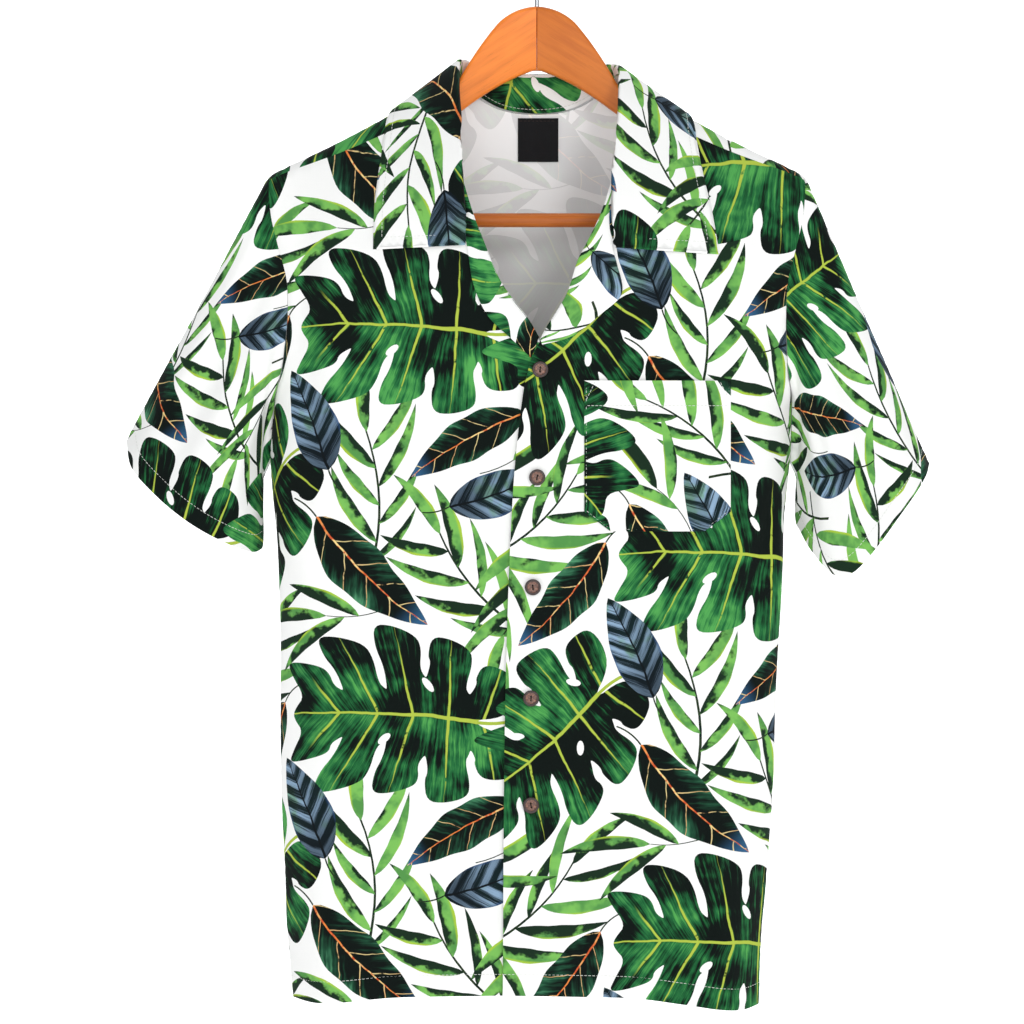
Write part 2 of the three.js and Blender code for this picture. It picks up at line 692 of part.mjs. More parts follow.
function pocket() {
  return evenly(POCKET_ROWS + 1).map((w) =>
    POCKET_COLUMNS.map((u) => {
      const x = mix(POCKET.left, POCKET.right, u);
      const inset = Math.min(x - POCKET.left, POCKET.right - x) / POCKET.cut;
      const bottom = mix(POCKET.side, POCKET.bottom, Math.min(inset, 1));
      const z = mix(bottom, POCKET.top, w);
      const open = POCKET_GAPE * smooth((w - 0.6) / 0.4) * Math.sin(Math.PI * u);
      return new THREE.Vector3(x, faceY(-1, x, z) - POCKET_LIFT - open - lapLift(x, z), z);
    }),
  );
}

function label() {
  return evenly(4).map((w) =>
    evenly(4).map((u) => {
      const x = mix(LABEL.left, LABEL.right, u);
      const z = mix(LABEL.bottom, LABEL.top, w);
      return new THREE.Vector3(x, faceY(1, x, z) - (WALL + LABEL_THICKNESS) / 2 - SEAM_GAP, z);
    }),
  );
}

// A round button with two thread holes, its face along +Z before it is turned to the front
function buttonGeometry() {
  const shape = new THREE.Shape().absarc(0, 0, BUTTON_RADIUS, 0, 2 * Math.PI);
  for (const hand of [-1, 1]) {
    const hole = new THREE.Path();
    hole.absarc(hand * BUTTON_HOLE_SPREAD, 0, BUTTON_HOLE_RADIUS, 0, 2 * Math.PI, true);
    shape.holes.push(hole);
  }
  const geometry = new THREE.ExtrudeGeometry(shape, {
    depth: BUTTON_THICKNESS,
    bevelEnabled: false,
    curveSegments: 10,
  });
  return geometry.rotateX(Math.PI / 2);
}

// Solid wood and wire
function toSolid(geometry) {
  const bare = geometry.clone();
  bare.deleteAttribute("normal");
  bare.deleteAttribute("uv");
  const merged = mergeVertices(bare, 1e-4);
  const vertProperties = merged.getAttribute("position").array;
  return new wasm.Manifold(
    new wasm.Mesh({ numProp: 3, vertProperties, triVerts: new Uint32Array(merged.index.array) }),
  );
}

function fromSolid(solid) {
  const mesh = solid.getMesh();
  const geometry = new THREE.BufferGeometry();
  geometry.setAttribute("position", new THREE.BufferAttribute(mesh.vertProperties, 3));
  geometry.setIndex(new THREE.BufferAttribute(mesh.triVerts, 1));
  geometry.computeVertexNormals();
  return geometry;
}

// Outline of one arm from the mitre outwards, as seen from the front
function armShape() {
  const dip = (x) => ARM_NECK_DIP * Math.exp(-(((x - NECK_POINT + 5) / 20) ** 2));
  const under = (x) => ridgeZ(x) - WALL / 2 - ARM_CLEARANCE - dip(x);
  const shape = new THREE.Shape();
  shape.moveTo(-12, -62);
  shape.lineTo(3, -62);
  shape.quadraticCurveTo(20, -64, 32, -76);
  shape.quadraticCurveTo(50, -97, 66, under(66));
  for (const x of [80, 95, 115, 135, 155, 175, 192]) shape.lineTo(x, under(x));
  shape.quadraticCurveTo(ARM_END, under(206), ARM_END, -216);
  shape.quadraticCurveTo(ARM_END, -252, BAR_REACH, -254);
  shape.quadraticCurveTo(170, -254, 164, -236);
  shape.quadraticCurveTo(150, -210, 110, -183);
  shape.lineTo(61, -148);
  shape.quadraticCurveTo(30, -124, 3, -115);
  shape.lineTo(-12, -115);
  return shape;
}

function armGeometry(hand) {
  const arm = new THREE.ExtrudeGeometry(armShape(), {
    depth: ARM_THICKNESS - 2 * ARM_BEVEL,
    bevelThickness: ARM_BEVEL,
    bevelSize: ARM_BEVEL,
    bevelOffset: -ARM_BEVEL,
    bevelSegments: 2,
    curveSegments: 5,
  });
  arm.translate(0, 0, ARM_BEVEL - ARM_THICKNESS / 2);
  arm.rotateX(Math.PI / 2);
  arm.rotateZ(-ARM_ANGLE);
  const cut = new THREE.BoxGeometry(60, 80, 200).translate(SEAM_GAP / 2 - 30, 0, -90);
  const bore = new THREE.CylinderGeometry(HOOK_WIRE + SEAM_GAP, HOOK_WIRE + SEAM_GAP, 60, 16);
  bore.rotateX(Math.PI / 2).translate(0, 0, STEM_BOTTOM - SEAM_GAP + 30);
  const socket = new THREE.CylinderGeometry(SOCKET_RADIUS, SOCKET_RADIUS, 40, 20);
  socket.rotateZ(Math.PI / 2).translate(BAR_REACH - 20, barY(), BAR_Z);
  const solid = toSolid(arm).subtract(toSolid(cut)).subtract(toSolid(bore)).subtract(toSolid(socket));
  const geometry = fromSolid(solid);
  if (hand > 0) return geometry;
  geometry.scale(-1, 1, 1);
  return facingOut(geometry);
}

const barY = () => -BAR_REACH * Math.tan(ARM_ANGLE);

function barGeometry() {
  const length = 2 * (BAR_REACH - SEAM_GAP);
  const bar = new THREE.CylinderGeometry(BAR_RADIUS, BAR_RADIUS, length, 20, 1);
  return bar.rotateZ(Math.PI / 2).translate(0, barY(), BAR_Z);
}

function hookGeometry() {
  const centre = -HOOK_RADIUS;
  const bend = HOOK_RADIUS + HOOK_WIRE;
  const route = [
    [0, STEM_BOTTOM],
    [0, -66],
    [1.5, centre - bend - 8],
    [12, centre - bend + 2.5],
  ];
  for (let degrees = -20; degrees <= 200; degrees += 20) {
    const angle = THREE.MathUtils.degToRad(degrees);
    route.push([bend * Math.cos(angle), centre + bend * Math.sin(angle)]);
  }
  const points = route.map(([x, z]) => new THREE.Vector3(x, 0, z));
  const wire = new THREE.Shape().absarc(0, 0, HOOK_WIRE, 0, 2 * Math.PI);
  return new THREE.ExtrudeGeometry(wire, {
    steps: 44,
    curveSegments: 5,
    extrudePath: new THREE.CatmullRomCurve3(points, false, "centripetal"),
  });
}

const shirt = new THREE.Group();

function place(name, geometry, color, roughness, metalness = 0) {
  const mesh = new THREE.Mesh(geometry, new THREE.MeshStandardMaterial({ color, roughness, metalness }));
  mesh.name = name;
  shirt.add(mesh);
  return mesh;
}

function addCloth() {
  place("back", shell(backPanel()), INSIDE_OUT, 0.85);
  place("front_right", shell(frontPanel(-1)), PRINT, 0.85);
  place("front_left", shell(frontPanel(1)), PRINT, 0.85);
  place("lapel_right", shell(lapel(LAPEL_RIGHT, false)), PRINT, 0.85);
  place("lapel_left", shell(lapel(LAPEL_LEFT, true)), PRINT, 0.85);
  place("collar", shell(collar()), PRINT, 0.85);
  place("sleeve_right", shell(sleeve(-1, CUFF_RIGHT), WALL, true), PRINT, 0.85);
  place("sleeve_left", shell(sleeve(1, CUFF_LEFT), WALL, true), PRINT, 0.85);
  place("pocket", shell(pocket()), PRINT, 0.85);
  place("label", shell(label(), LABEL_THICKNESS), 0x16161a, 0.7);
}

function addButtons() {
  BUTTONS.forEach(({ x, z }, i) => {
    const button = place("button_" + (i + 1), buttonGeometry(), 0x4a3222, 0.5);
    const surface = faceY(-1, x, z) - lapLift(x, z) - WALL / 2;
    button.position.set(x, surface - BUTTON_RISE, z);
  });
}

function addHanger() {
  place("hanger_arm_right", armGeometry(-1), WOOD_LIGHT, 0.45);
  place("hanger_arm_left", armGeometry(1), WOOD_DARK, 0.45);
  place("hanger_bar", barGeometry(), WOOD_DARK, 0.5);
  place("hanger_hook", hookGeometry(), 0xc9ccd0, 0.25, 1);
}

addCloth();
addButtons();
addHanger();

export default shirt;
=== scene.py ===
"""A short-sleeved hawaiian shirt with a camp collar on a flat wooden hanger.

Tables are in millimetres in the frame of the CAD part, and meshes are made in metres.
"""

import math

import bmesh
import bpy
import numpy as np
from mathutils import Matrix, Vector
from mathutils.geometry import delaunay_2d_cdt


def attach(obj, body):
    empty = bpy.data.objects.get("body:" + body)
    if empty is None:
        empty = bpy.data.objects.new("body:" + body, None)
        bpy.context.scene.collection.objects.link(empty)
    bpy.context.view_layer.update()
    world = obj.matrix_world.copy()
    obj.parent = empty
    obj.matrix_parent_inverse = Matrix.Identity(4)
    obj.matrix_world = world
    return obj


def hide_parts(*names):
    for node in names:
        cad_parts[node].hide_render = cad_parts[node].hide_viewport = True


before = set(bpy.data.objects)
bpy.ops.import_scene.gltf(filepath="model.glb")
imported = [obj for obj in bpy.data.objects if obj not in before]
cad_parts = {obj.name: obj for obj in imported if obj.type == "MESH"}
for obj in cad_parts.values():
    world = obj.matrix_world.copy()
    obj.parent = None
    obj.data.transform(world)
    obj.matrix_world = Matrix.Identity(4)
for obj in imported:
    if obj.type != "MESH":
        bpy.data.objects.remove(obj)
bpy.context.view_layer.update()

bl_info = {
    "name": "Hawaiian Shirt",
    "version": (1, 0, 0),
    "blender": (4, 5, 0),
    "location": "3D View > Sidebar > Shirt",
    "description": "Builds a hawaiian shirt on a wooden hanger, piece by piece",
    "category": "Add Mesh",
}

METRE = 0.001
ROOT = "root"

# Body of the shirt
BODY_Y = -22.0
FRONT_DEPTH = 52.0
BACK_DEPTH = 48.0
BOW = 6.0
END_REACH = 75.0
TUCK_START = 0.86
RIDGE_RADIUS = 10.0
RIDGE_EASE = 25.0
RIDGE_BLEND = 40.0
FOLD_FADE = 20.0
COLLAR_LOW = -265.0
COLLAR_FADE = 45.0
SHOULDER_FADE = 170.0
SHOULDER_EASE = 2.2
UNDERARM_Z = -439.0
V_BOTTOM = -341.0
HEM_Z = -880.0
HEM_REACH = 0.985
HEM_STITCH = 17.5
HEM_BAND = 19.0
CUFF_STITCH = 14.0
CUFF_BAND = 15.0
SHOULDER_TIP = 219.0
NECK_POINT = 75.0
LAP_LIFT = 1.9
LAP_FADE = 30.0
LAP_MARGIN = 4.0
QUARTER = math.pi / 2
ARM_TANGENT = math.tan(math.radians(9))

# Top of the shoulder: distance out, height
SHOULDER = (
    (0, -95), (45, -105), (60, -112), (70, -120.5), (80, -129), (105, -144), (128, -157),
    (160, -174.5), (185, -187), (208, -198), (222, -206), (240, -218),
)
# Level rings: height, half width, sideways lean, growth in depth, tuck of the side seams
RINGS = (
    (-885, 197, -9, 1.16, 17), (-820, 202, -10.5, 1.14, 20), (-790, 204, -9.5, 1.12, 20),
    (-700, 209.5, -8, 1.08, 20), (-610, 211, -7, 1.05, 18), (-516, 213, -6, 1.02, 8),
    (-440, 213.5, -5.5, 1, 0), (-390, 214.5, -3, 1, 0), (-310, 222, 0, 1, 0),
    (-215, 232, 0, 1, 0), (-90, 236, 0, 1, 0),
)
# Armhole seam: height, share of the way round to the side seam
ARMHOLE = (
    (-439, 1), (-425, 0.985), (-408, 0.965), (-390, 0.94), (-367, 0.875), (-345, 0.845),
    (-325, 0.826), (-291, 0.815), (-260, 0.84), (-237, 0.858), (-215, 0.86), (-195, 0.852),
)
# Hems: distance from the middle, height
FRONT_HEM = (
    (-208, -875.5), (-180, -881), (-119, -876.5), (-25, -874), (48, -875.5),
    (80, -877), (120, -882), (166, -887), (188, -881),
)
BACK_HEM = (
    (-208, -875.5), (-150, -880), (-60, -876), (60, -877), (140, -884), (188, -881),
)
# Soft folds: place at the hem, drift, width, height, top
FRONT_FOLDS = (
    (-172, -0.02, 22, 7, -560), (-112, 0.03, 26, -5, -620),
    (92, 0.04, 28, -5, -600), (156, -0.05, 24, 8, -520),
)
BACK_FOLDS = (
    (-150, -0.02, 22, 8, -400), (-98, 0.02, 21, -8, -370), (-40, 0.05, 23, 7, -330),
    (22, -0.02, 22, -7, -350), (84, -0.04, 22, 8, -340), (140, 0.02, 20, -7, -420),
)
# Neck edges and front edges: height, place
NECK_EDGE_LEFT = (
    (-341, 2.5), (-329, 8.2), (-305, 23), (-292, 28), (-274, 33.6), (-249, 46.7),
    (-225, 56), (-198, 64.8), (-170, 70), (-144, 75),
)
NECK_EDGE_RIGHT = (
    (-341, 2.5), (-323, -7.4), (-307, -19.7), (-290, -31), (-260, -43.5), (-239, -51.7),
    (-215, -60.7), (-190, -66), (-168, -70), (-144, -75),
)
OVERLAP_EDGE = (
    (-890, -28), (-640, -26), (-470, -20), (-388, -12), (-356, -5), (-341, 2.5),
)
UNDERLAP_EDGE = ((-890, 12), (-470, 14), (-388, 15), (-362, 10), (-341, 2.5))
BACK_NECK = (
    (0, -150), (18, -149), (35, -144.5), (50, -136.5), (60, -128.5), (69, -118.5), (75, -104.5),
)
SEAM_FORWARD = ((75, 20), (130, 17), (219, 8))

# Small creases pressed or hung into the cloth: x and z of both ends, width, height before scaling
CREASE_SCALE = 1.35
FRONT_CREASES = (
    (-196, -250, -188, -420, 15, -2.2),
    (-176, -232, -170, -380, 12, 1.6),
    (-150, -300, -182, -520, 16, 1.3),
    (-200, -455, -150, -520, 13, -1.6),
    (-205, -480, -172, -590, 11, 1.7),
    (182, -230, 190, -400, 14, -2.0),
    (165, -215, 172, -330, 12, 1.4),
    (205, -452, 172, -560, 12, -1.8),
    (200, -480, 178, -640, 11, 1.6),
    (-90, -240, -96, -480, 26, -0.9),
    (96, -540, 92, -800, 22, 1.0),
    (-60, -520, -66, -830, 20, 1.0),
    (34, -560, 30, -850, 18, -0.9),
    (130, -600, 140, -850, 16, -1.1),
    (-140, -640, -134, -860, 15, 1.2),
    (14, -390, 11, -850, 7, -0.5),
)
BACK_CREASES = (
    (-190, -240, -176, -420, 15, -2.4),
    (-160, -220, -120, -360, 18, 1.6),
    (188, -240, 176, -430, 15, -2.4),
    (158, -220, 118, -360, 18, 1.6),
    (-200, -455, -130, -560, 14, -2.0),
    (198, -455, 132, -560, 14, -2.0),
    (-196, -480, -160, -640, 12, 1.8),
    (192, -480, 160, -640, 12, 1.8),
    (-60, -170, -30, -300, 20, 1.2),
    (64, -170, 30, -310, 20, 1.2),
    (0, -190, 4, -420, 24, -1.2),
)
# Creases of the sleeves: turn and share along at both ends, width in mm, height
SLEEVE_CREASES = (
    (0.06, 0.05, 0.10, 0.95, 11, 2.0),
    (0.15, 0.02, 0.17, 0.90, 12, -2.6),
    (0.24, 0.05, 0.22, 0.98, 12, 2.6),
    (0.33, 0.10, 0.30, 0.95, 11, -2.2),
    (-0.09, 0.05, -0.10, 0.95, 12, 1.8),
    (-0.19, 0.02, -0.18, 0.90, 12, -2.4),
    (-0.29, 0.05, -0.26, 0.95, 13, 2.2),
)

# Collar stations: seam x, z, lift; roll x, y, z; edge x, z; side of the shoulder
COLLAR_STATIONS = (
    (-59, -260.5, 4.6, -57.4, -85, -262, -133.5, -265, -1),
    (-62, -228, 4.6, -58, -84, -230, -132.8, -231, -1),
    (-65, -196, 3.6, -59.5, -73, -195, -130, -205, -1),
    (-70, -165, 0, -60.6, -47, -160, -127, -184, -1),
    (-72.5, -138, 0, -61.5, -31, -127, -125, -169, -1),
    (-68.5, -119, 0, -62.5, -13, -106, -121, -151, 0),
    (-60, -126, 0.3, -57.5, 3, -103, -112, -160, 1),
    (-48, -136, 0.3, -45, 9, -106, -92, -169, 1),
    (-28, -146.5, 0, -27, 13, -110, -55, -178, 1),
    (0, -150, 0, 0, 14, -112, 0, -182, 1),
    (28, -146.5, 0, 28, 13, -110, 57, -178, 1),
    (48, -136, 0.3, 48, 9, -107, 96, -170, 1),
    (60, -126, 0.3, 61, 2, -107, 117, -163, 1),
    (68.5, -119, 0, 67, -14, -112, 127, -154, 0),
    (72.5, -138, 0, 65.5, -31, -130, 130.5, -173, -1),
    (70, -165, 0, 64.5, -47, -162, 133, -188, -1),
    (65, -196, 3.6, 61, -73, -196, 137, -208, -1),
    (64, -230, 4.6, 60.5, -84, -232, 143, -235, -1),
    (64, -262.5, 4.6, 62.5, -85, -264, 148.4, -269, -1),
)
COLLAR_LIFT = 2.6
COLLAR_ROLL_LIFT = 6.0
COLLAR_SLOPE = 1.12
COLLAR_STACK = 1.2

# Lapels: inner x, z and outer x, z
LAPEL_RIGHT = (
    (-61.5, -207, -70, -205), (-51.7, -239, -64, -236), (-43.5, -260, -57.4, -262),
    (-31, -290, -51.7, -295.5), (-19.7, -307, -40, -320.5), (-7.4, -323, -21, -339),
    (1.5, -338, -5, -354.5),
)
LAPEL_LEFT = (
    (64.8, -198, 76, -201), (50.8, -240, 67, -238), (40, -262, 61.5, -264),
    (33.6, -274, 64.8, -277), (28, -292, 69, -302), (23, -305, 53, -318),
    (8.2, -329, 26, -338), (2.5, -339.5, 4, -343.5),
)

# Cuffs: points from the outer corner to the underarm
CUFFS = {
    -1: (
        ((-338, -24, -421), (-331, -44, -446), (-293, -62, -483), (-260, -60, -503),
         (-234, -44, -513), (-226, -24, -509)),
        ((-338, -24, -421), (-325, -2, -424), (-290, 14, -445), (-255, 16, -470),
         (-233, 4, -494), (-226, -24, -509)),
    ),
    1: (
        ((323, -24, -440), (318, -44, -452), (292, -64, -490), (259, -70, -529),
         (246, -66, -533), (226, -50, -513), (213, -26, -487)),
        ((323, -24, -440), (312, -4, -441), (282, 12, -455), (245, 14, -478),
         (222, 0, -486), (213, -26, -487)),
    ),
}
SLEEVE_PUSH = 0.35
SLEEVE_ROUND = 410.0

POCKET_LEFT = 38.5
POCKET_RIGHT = 158.0
POCKET_TOP = -373.0
POCKET_SIDE = -480.0
POCKET_BOTTOM = -496.0
POCKET_CUT = 21.5
POCKET_SEAM = 1.6
POCKET_BAND = 21.0
POCKET_HEM = 20.5

BUTTON_PLACES = ((2.5, -364), (0, -452), (-3.5, -541.5), (-5, -632), (-5, -719))
BUTTON_TURNS = (82, 76, 95, 88, 101)
LABEL_BOX = (-15.6, 18.0, -189.0, -153.0)
LABEL_THICK = 0.5

# Where the print lies on each piece: shift across, shift up, turn in degrees
PRINT_PLACES = {
    "back": (40, 20, 0),
    "front_right": (-111, -334, 0),
    "front_left": (152, -520, 0),
    "sleeve_right": (12, 100, 14),
    "sleeve_left": (70, 30, -12),
    "collar": (82, -240, 78),
    "lapel_right": (70, 10, 35),
    "lapel_left": (10, 120, 35),
    "pocket": (20, 40, 96),
}
# Kinds of motif in the print
GROUND = 0
MONSTERA = 1
STRIPED = 2
VEINED = 3
SLIM = 4
STALK = 5
GREEN_STALK = 6

# The print repeats in columns, each half a repeat lower or higher than the next
PRINT_SEED = 23
REPEAT_WIDTH = 302.0
REPEAT_HEIGHT = 317.0
# One repeat: kind, x, y, angle in degrees, length, bend, mirror
MOTIFS = (
    ("spray", -25, -210, 0, 132, 0.10, 1),
    ("spray", 130, -255, 45, 132, -0.10, -1),
    ("spray", -205, -5, -50, 120, 0.10, 1),
    ("spray", 120, 185, 165, 120, -0.10, -1),
    ("pair", 70, -115, -60, 74, 0.08, 1),
    ("pair", 0, 95, 100, 74, -0.08, -1),
    (VEINED, 105, -65, 120, 105, 0.04, 1),
    (VEINED, -60, -150, -135, 125, 0.06, 1),
    (VEINED, -90, 15, 140, 110, -0.05, -1),
    (MONSTERA, 65, 0, 88, 145, 0.03, 1),
    (MONSTERA, -98, 205, 130, 138, -0.04, -1),
    (STRIPED, -50, -112, 25, 90, 0.03, 1),
    (STRIPED, 45, -142, -70, 86, 0.04, -1),
)


def smooth(amount):
    """Soft step from 0 to 1."""
    t = np.clip(amount, 0.0, 1.0)
    return t * t * (3 - 2 * t)


def mix(a, b, t):
    return a + (b - a) * t


def read(table, at, column=1):
    """Smooth reading of one column of a table by its first column."""
    rows = np.array(sorted(table), float)
    keys = rows[:, 0]
    values = rows[:, column]
    count = len(keys)
    x = np.clip(at, keys[0], keys[-1])
    i = np.clip(np.searchsorted(keys, x, side="left") - 1, 0, count - 2)
    before = np.maximum(np.arange(count) - 1, 0)
    after = np.minimum(np.arange(count) + 1, count - 1)
    slopes = (values[after] - values[before]) / (keys[after] - keys[before])
    span = keys[i + 1] - keys[i]
    t = (x - keys[i]) / span
    rise = values[i + 1] - values[i]
    first = slopes[i] * span
    last = slopes[i + 1] * span
    bend = (first * (1 - t) - last * t + rise * (2 * t - 1)) * t * (1 - t)
    return values[i] + rise * t + bend


def ridge_z(x):
    return read(SHOULDER, np.abs(x))


def ridge_y(x):
    return -np.hypot(x, RIDGE_EASE) * ARM_TANGENT


def ring_parts(side, z):
    depth = (FRONT_DEPTH if side < 0 else BACK_DEPTH) * read(RINGS, z, 3)
    flat = read(RINGS, z, 1) - END_REACH
    arc = QUARTER * np.sqrt((END_REACH**2 + depth**2) / 2)
    return depth, flat, flat / (flat + arc), flat + arc


def around(side, share, z):
    """Sideways place and full depth at a signed share of the way round the body."""
    depth, flat, knee, _ = ring_parts(side, z)
    lean = read(RINGS, z, 2)
    reach = np.abs(share)
    sign = np.sign(share)
    bow = BOW * np.cos(QUARTER * np.minimum(reach / knee, 1)) ** 2
    turn = (reach - knee) / (1 - knee) * QUARTER
    tuck = read(RINGS, z, 4) * smooth((reach - TUCK_START) / (1 - TUCK_START))
    inside = reach <= knee
    far_x = lean + sign * (flat + END_REACH * np.sin(turn) - tuck)
    x = np.where(inside, lean + flat * share / knee, far_x)
    return x, np.where(inside, depth + bow, depth * np.cos(turn))


def share_at(side, x, z):
    _, flat, knee, _ = ring_parts(side, z)
    across = x - read(RINGS, z, 2)
    out = np.abs(across)
    turn = np.arcsin(np.clip((out - flat) / END_REACH, -1, 1))
    near = knee * out / flat
    return np.sign(across) * np.where(out <= flat, near, knee + (1 - knee) * turn / QUARTER)


def fold_lift(side, x, z):
    lift = np.zeros_like(np.asarray(x, float))
    front = np.asarray(side) < 0
    for is_front, folds in ((True, FRONT_FOLDS), (False, BACK_FOLDS)):
        for place, drift, width, height, top in folds:
            middle = place + drift * (z - HEM_Z)
            grow = smooth((top - z) / (top - HEM_Z))
            part = height * grow * np.exp(-(((x - middle) / width) ** 2))
            lift = lift + np.where(front == is_front, part, 0.0)
    return lift


def lap_lift(x, z):
    end = read(UNDERLAP_EDGE, z) + LAP_MARGIN + LAP_FADE
    return LAP_LIFT * smooth((end - x) / LAP_FADE)


def swell_at(fall):
    return 1 - (1 - np.clip(fall / SHOULDER_FADE, 0, 1)) ** SHOULDER_EASE


def body_point(side, share, z):
    """A point of the body cloth: above the ridge line the sheet comes down on the other side."""
    x, full = around(side, share, z)
    drop = ridge_z(x) - z
    face = np.where(drop < 0, -side, side)
    below = np.abs(drop)
    quarter = QUARTER * RIDGE_RADIUS
    along = below + (quarter - RIDGE_RADIUS) * smooth(below / RIDGE_BLEND)
    over = np.minimum(along / RIDGE_RADIUS, QUARTER)
    fall = RIDGE_RADIUS * (1 - np.cos(over)) + np.maximum(along - quarter, 0)
    swell = swell_at(fall)
    depth = RIDGE_RADIUS * np.sin(over) + np.maximum(full - RIDGE_RADIUS, 0) * swell
    folds = fold_lift(face, x, z) * np.clip(full / FOLD_FADE, 0, 1)
    shrink = np.minimum(full / RIDGE_RADIUS, 1)
    y = mix(ridge_y(x), BODY_Y, swell) + face * (depth * shrink + folds)
    return np.stack((x, y, ridge_z(x) - fall), axis=-1)


def face_y(side, x, z):
    """Depth of the cloth's face at a place seen from the front or back."""
    fall = np.maximum(ridge_z(x) - z, 0)
    lean = np.clip(1 - fall / RIDGE_RADIUS, 0, 1)
    swell = swell_at(fall)
    _, full = around(side, share_at(side, x, z), z)
    depth = RIDGE_RADIUS * np.sqrt(1 - lean**2) + np.maximum(full - RIDGE_RADIUS, 0) * swell
    folds = fold_lift(np.full_like(np.asarray(x, float), side), x, z) * np.clip(full / FOLD_FADE, 0, 1)
    return mix(ridge_y(x), BODY_Y, swell) + side * (depth + folds)


def crease_lift(creases, x, z):
    """Height of the small creases at a place seen from the front."""
    lift = np.zeros_like(np.asarray(x, float))
    for x0, z0, x1, z1, width, height in creases:
        length = math.hypot(x1 - x0, z1 - z0)
        ux, uz = (x1 - x0) / length, (z1 - z0) / length
        along = (x - x0) * ux + (z - z0) * uz
        wander = 0.12 * width * np.sin(along / (2.3 * width) + x0)
        across = (x - x0) * uz - (z - z0) * ux + wander
        spread = width * (0.75 + 0.5 * np.clip(along / length, 0, 1))
        fade = smooth((along + 0.25 * length) / (0.5 * length))
        fade = fade * smooth((1.25 * length - along) / (0.5 * length))
        lift = lift + height * fade * np.exp(-((across / spread) ** 2))
    return lift


def ripple(x, z, size, seed):
    """Slow uneven waves of about one unit of height."""
    a = np.sin(x / size + 1.7 * seed + 0.8 * np.sin(z / (1.7 * size) + seed))
    b = np.sin(z / (1.3 * size) - 2.3 * seed + 0.9 * np.sin(x / (1.4 * size) - seed))
    return 0.5 * a * b + 0.25 * np.sin((x + z) / (0.9 * size) + 3.1 * seed)


def seam_forward(x):
    return read(SEAM_FORWARD, np.abs(x))


def front_top(x):
    return ridge_z(x) - seam_forward(x)


def back_top(x):
    out = np.abs(x)
    over = ridge_z(out) + seam_forward(out)
    return np.where(out <= NECK_POINT, read(BACK_NECK, out), over)


def front_edge_x(hand, z):
    neck = read(NECK_EDGE_LEFT if hand > 0 else NECK_EDGE_RIGHT, z)
    lap = read(OVERLAP_EDGE if hand > 0 else UNDERLAP_EDGE, z)
    return np.where(z > V_BOTTOM, neck, lap)


def outer_share(z):
    return np.where(z < UNDERARM_Z, 1.0, read(ARMHOLE, z))


def hem_z(side, x):
    return read(FRONT_HEM if side < 0 else BACK_HEM, x)


def flat_of(side, share, z):
    """Place on the flat cut of the cloth from a share of the way round and a height."""
    _, _, _, length = ring_parts(side, z)
    return np.stack((share * length, z), axis=-1)


def hem_line(side, shares):
    """The line of stitches above the hem of a body panel."""
    places = around(side, shares, np.full_like(shares, HEM_Z))[0]
    return flat_of(side, shares, hem_z(side, places) + HEM_STITCH)


def share_of(side, flat):
    _, _, _, length = ring_parts(side, flat[:, 1])
    return flat[:, 0] / length


def run_of(points):
    """Distance of each point of a line from its start."""
    gaps = np.linalg.norm(np.diff(points, axis=0), axis=1)
    return np.concatenate(([0.0], np.cumsum(gaps)))


def points_at(points, run, at):
    return np.stack([np.interp(at, run, column) for column in points.T], axis=-1)


def even(points, step):
    """Points of a line placed at even steps."""
    points = np.asarray(points, float)
    run = run_of(points)
    count = max(int(round(run[-1] / step)), 1)
    return points_at(points, run, np.linspace(0, run[-1], count + 1))


def spaced(points, count):
    """The given number of points at even distances along a line."""
    run = run_of(points)
    return points_at(points, run, np.linspace(0, run[-1], count))


def unit(vectors):
    size = np.linalg.norm(vectors, axis=1, keepdims=True)
    return vectors / np.maximum(size, 1e-9)


def closed_outline(edges, step):
    """One outline of even steps from edges that follow each other."""
    return np.concatenate([even(edge, step)[:-1] for edge in edges])


def corner_outline(corners, step):
    """Outline of straight edges through corners, from the last one back to the first."""
    corners = np.array(corners + corners[:1], float)
    return closed_outline([corners[k: k + 2] for k in range(len(corners) - 1)], step)


def box_corners(left, bottom, right, top):
    return ((left, bottom), (right, bottom), (right, top), (left, top))


def front_outline(hand, step):
    """Cut edge of one front: neck and front edge, hem, side seam with armhole, shoulder."""
    hem_inner = float(share_at(-1, front_edge_x(hand, HEM_Z), HEM_Z))
    shares = np.linspace(hem_inner, hand, 120)
    hem_heights = hem_z(-1, around(-1, shares, np.full_like(shares, HEM_Z))[0])
    hem = flat_of(-1, shares, hem_heights)
    top_inner = float(front_top(hand * NECK_POINT))
    top_outer = float(front_top(hand * SHOULDER_TIP))
    heights = np.linspace(hem_heights[-1], top_outer, 400)
    outer = flat_of(-1, hand * outer_share(heights), heights)
    out = np.linspace(SHOULDER_TIP, NECK_POINT, 100)
    tops = front_top(hand * out)
    top = flat_of(-1, share_at(-1, hand * out, tops), tops)
    outer[-1] = top[0]
    heights = np.linspace(top_inner, hem_heights[0], 500)
    inner = flat_of(-1, share_at(-1, front_edge_x(hand, heights), heights), heights)
    inner[0] = top[-1]
    inner[-1] = hem[0]
    return closed_outline((hem, outer, top, inner), step)


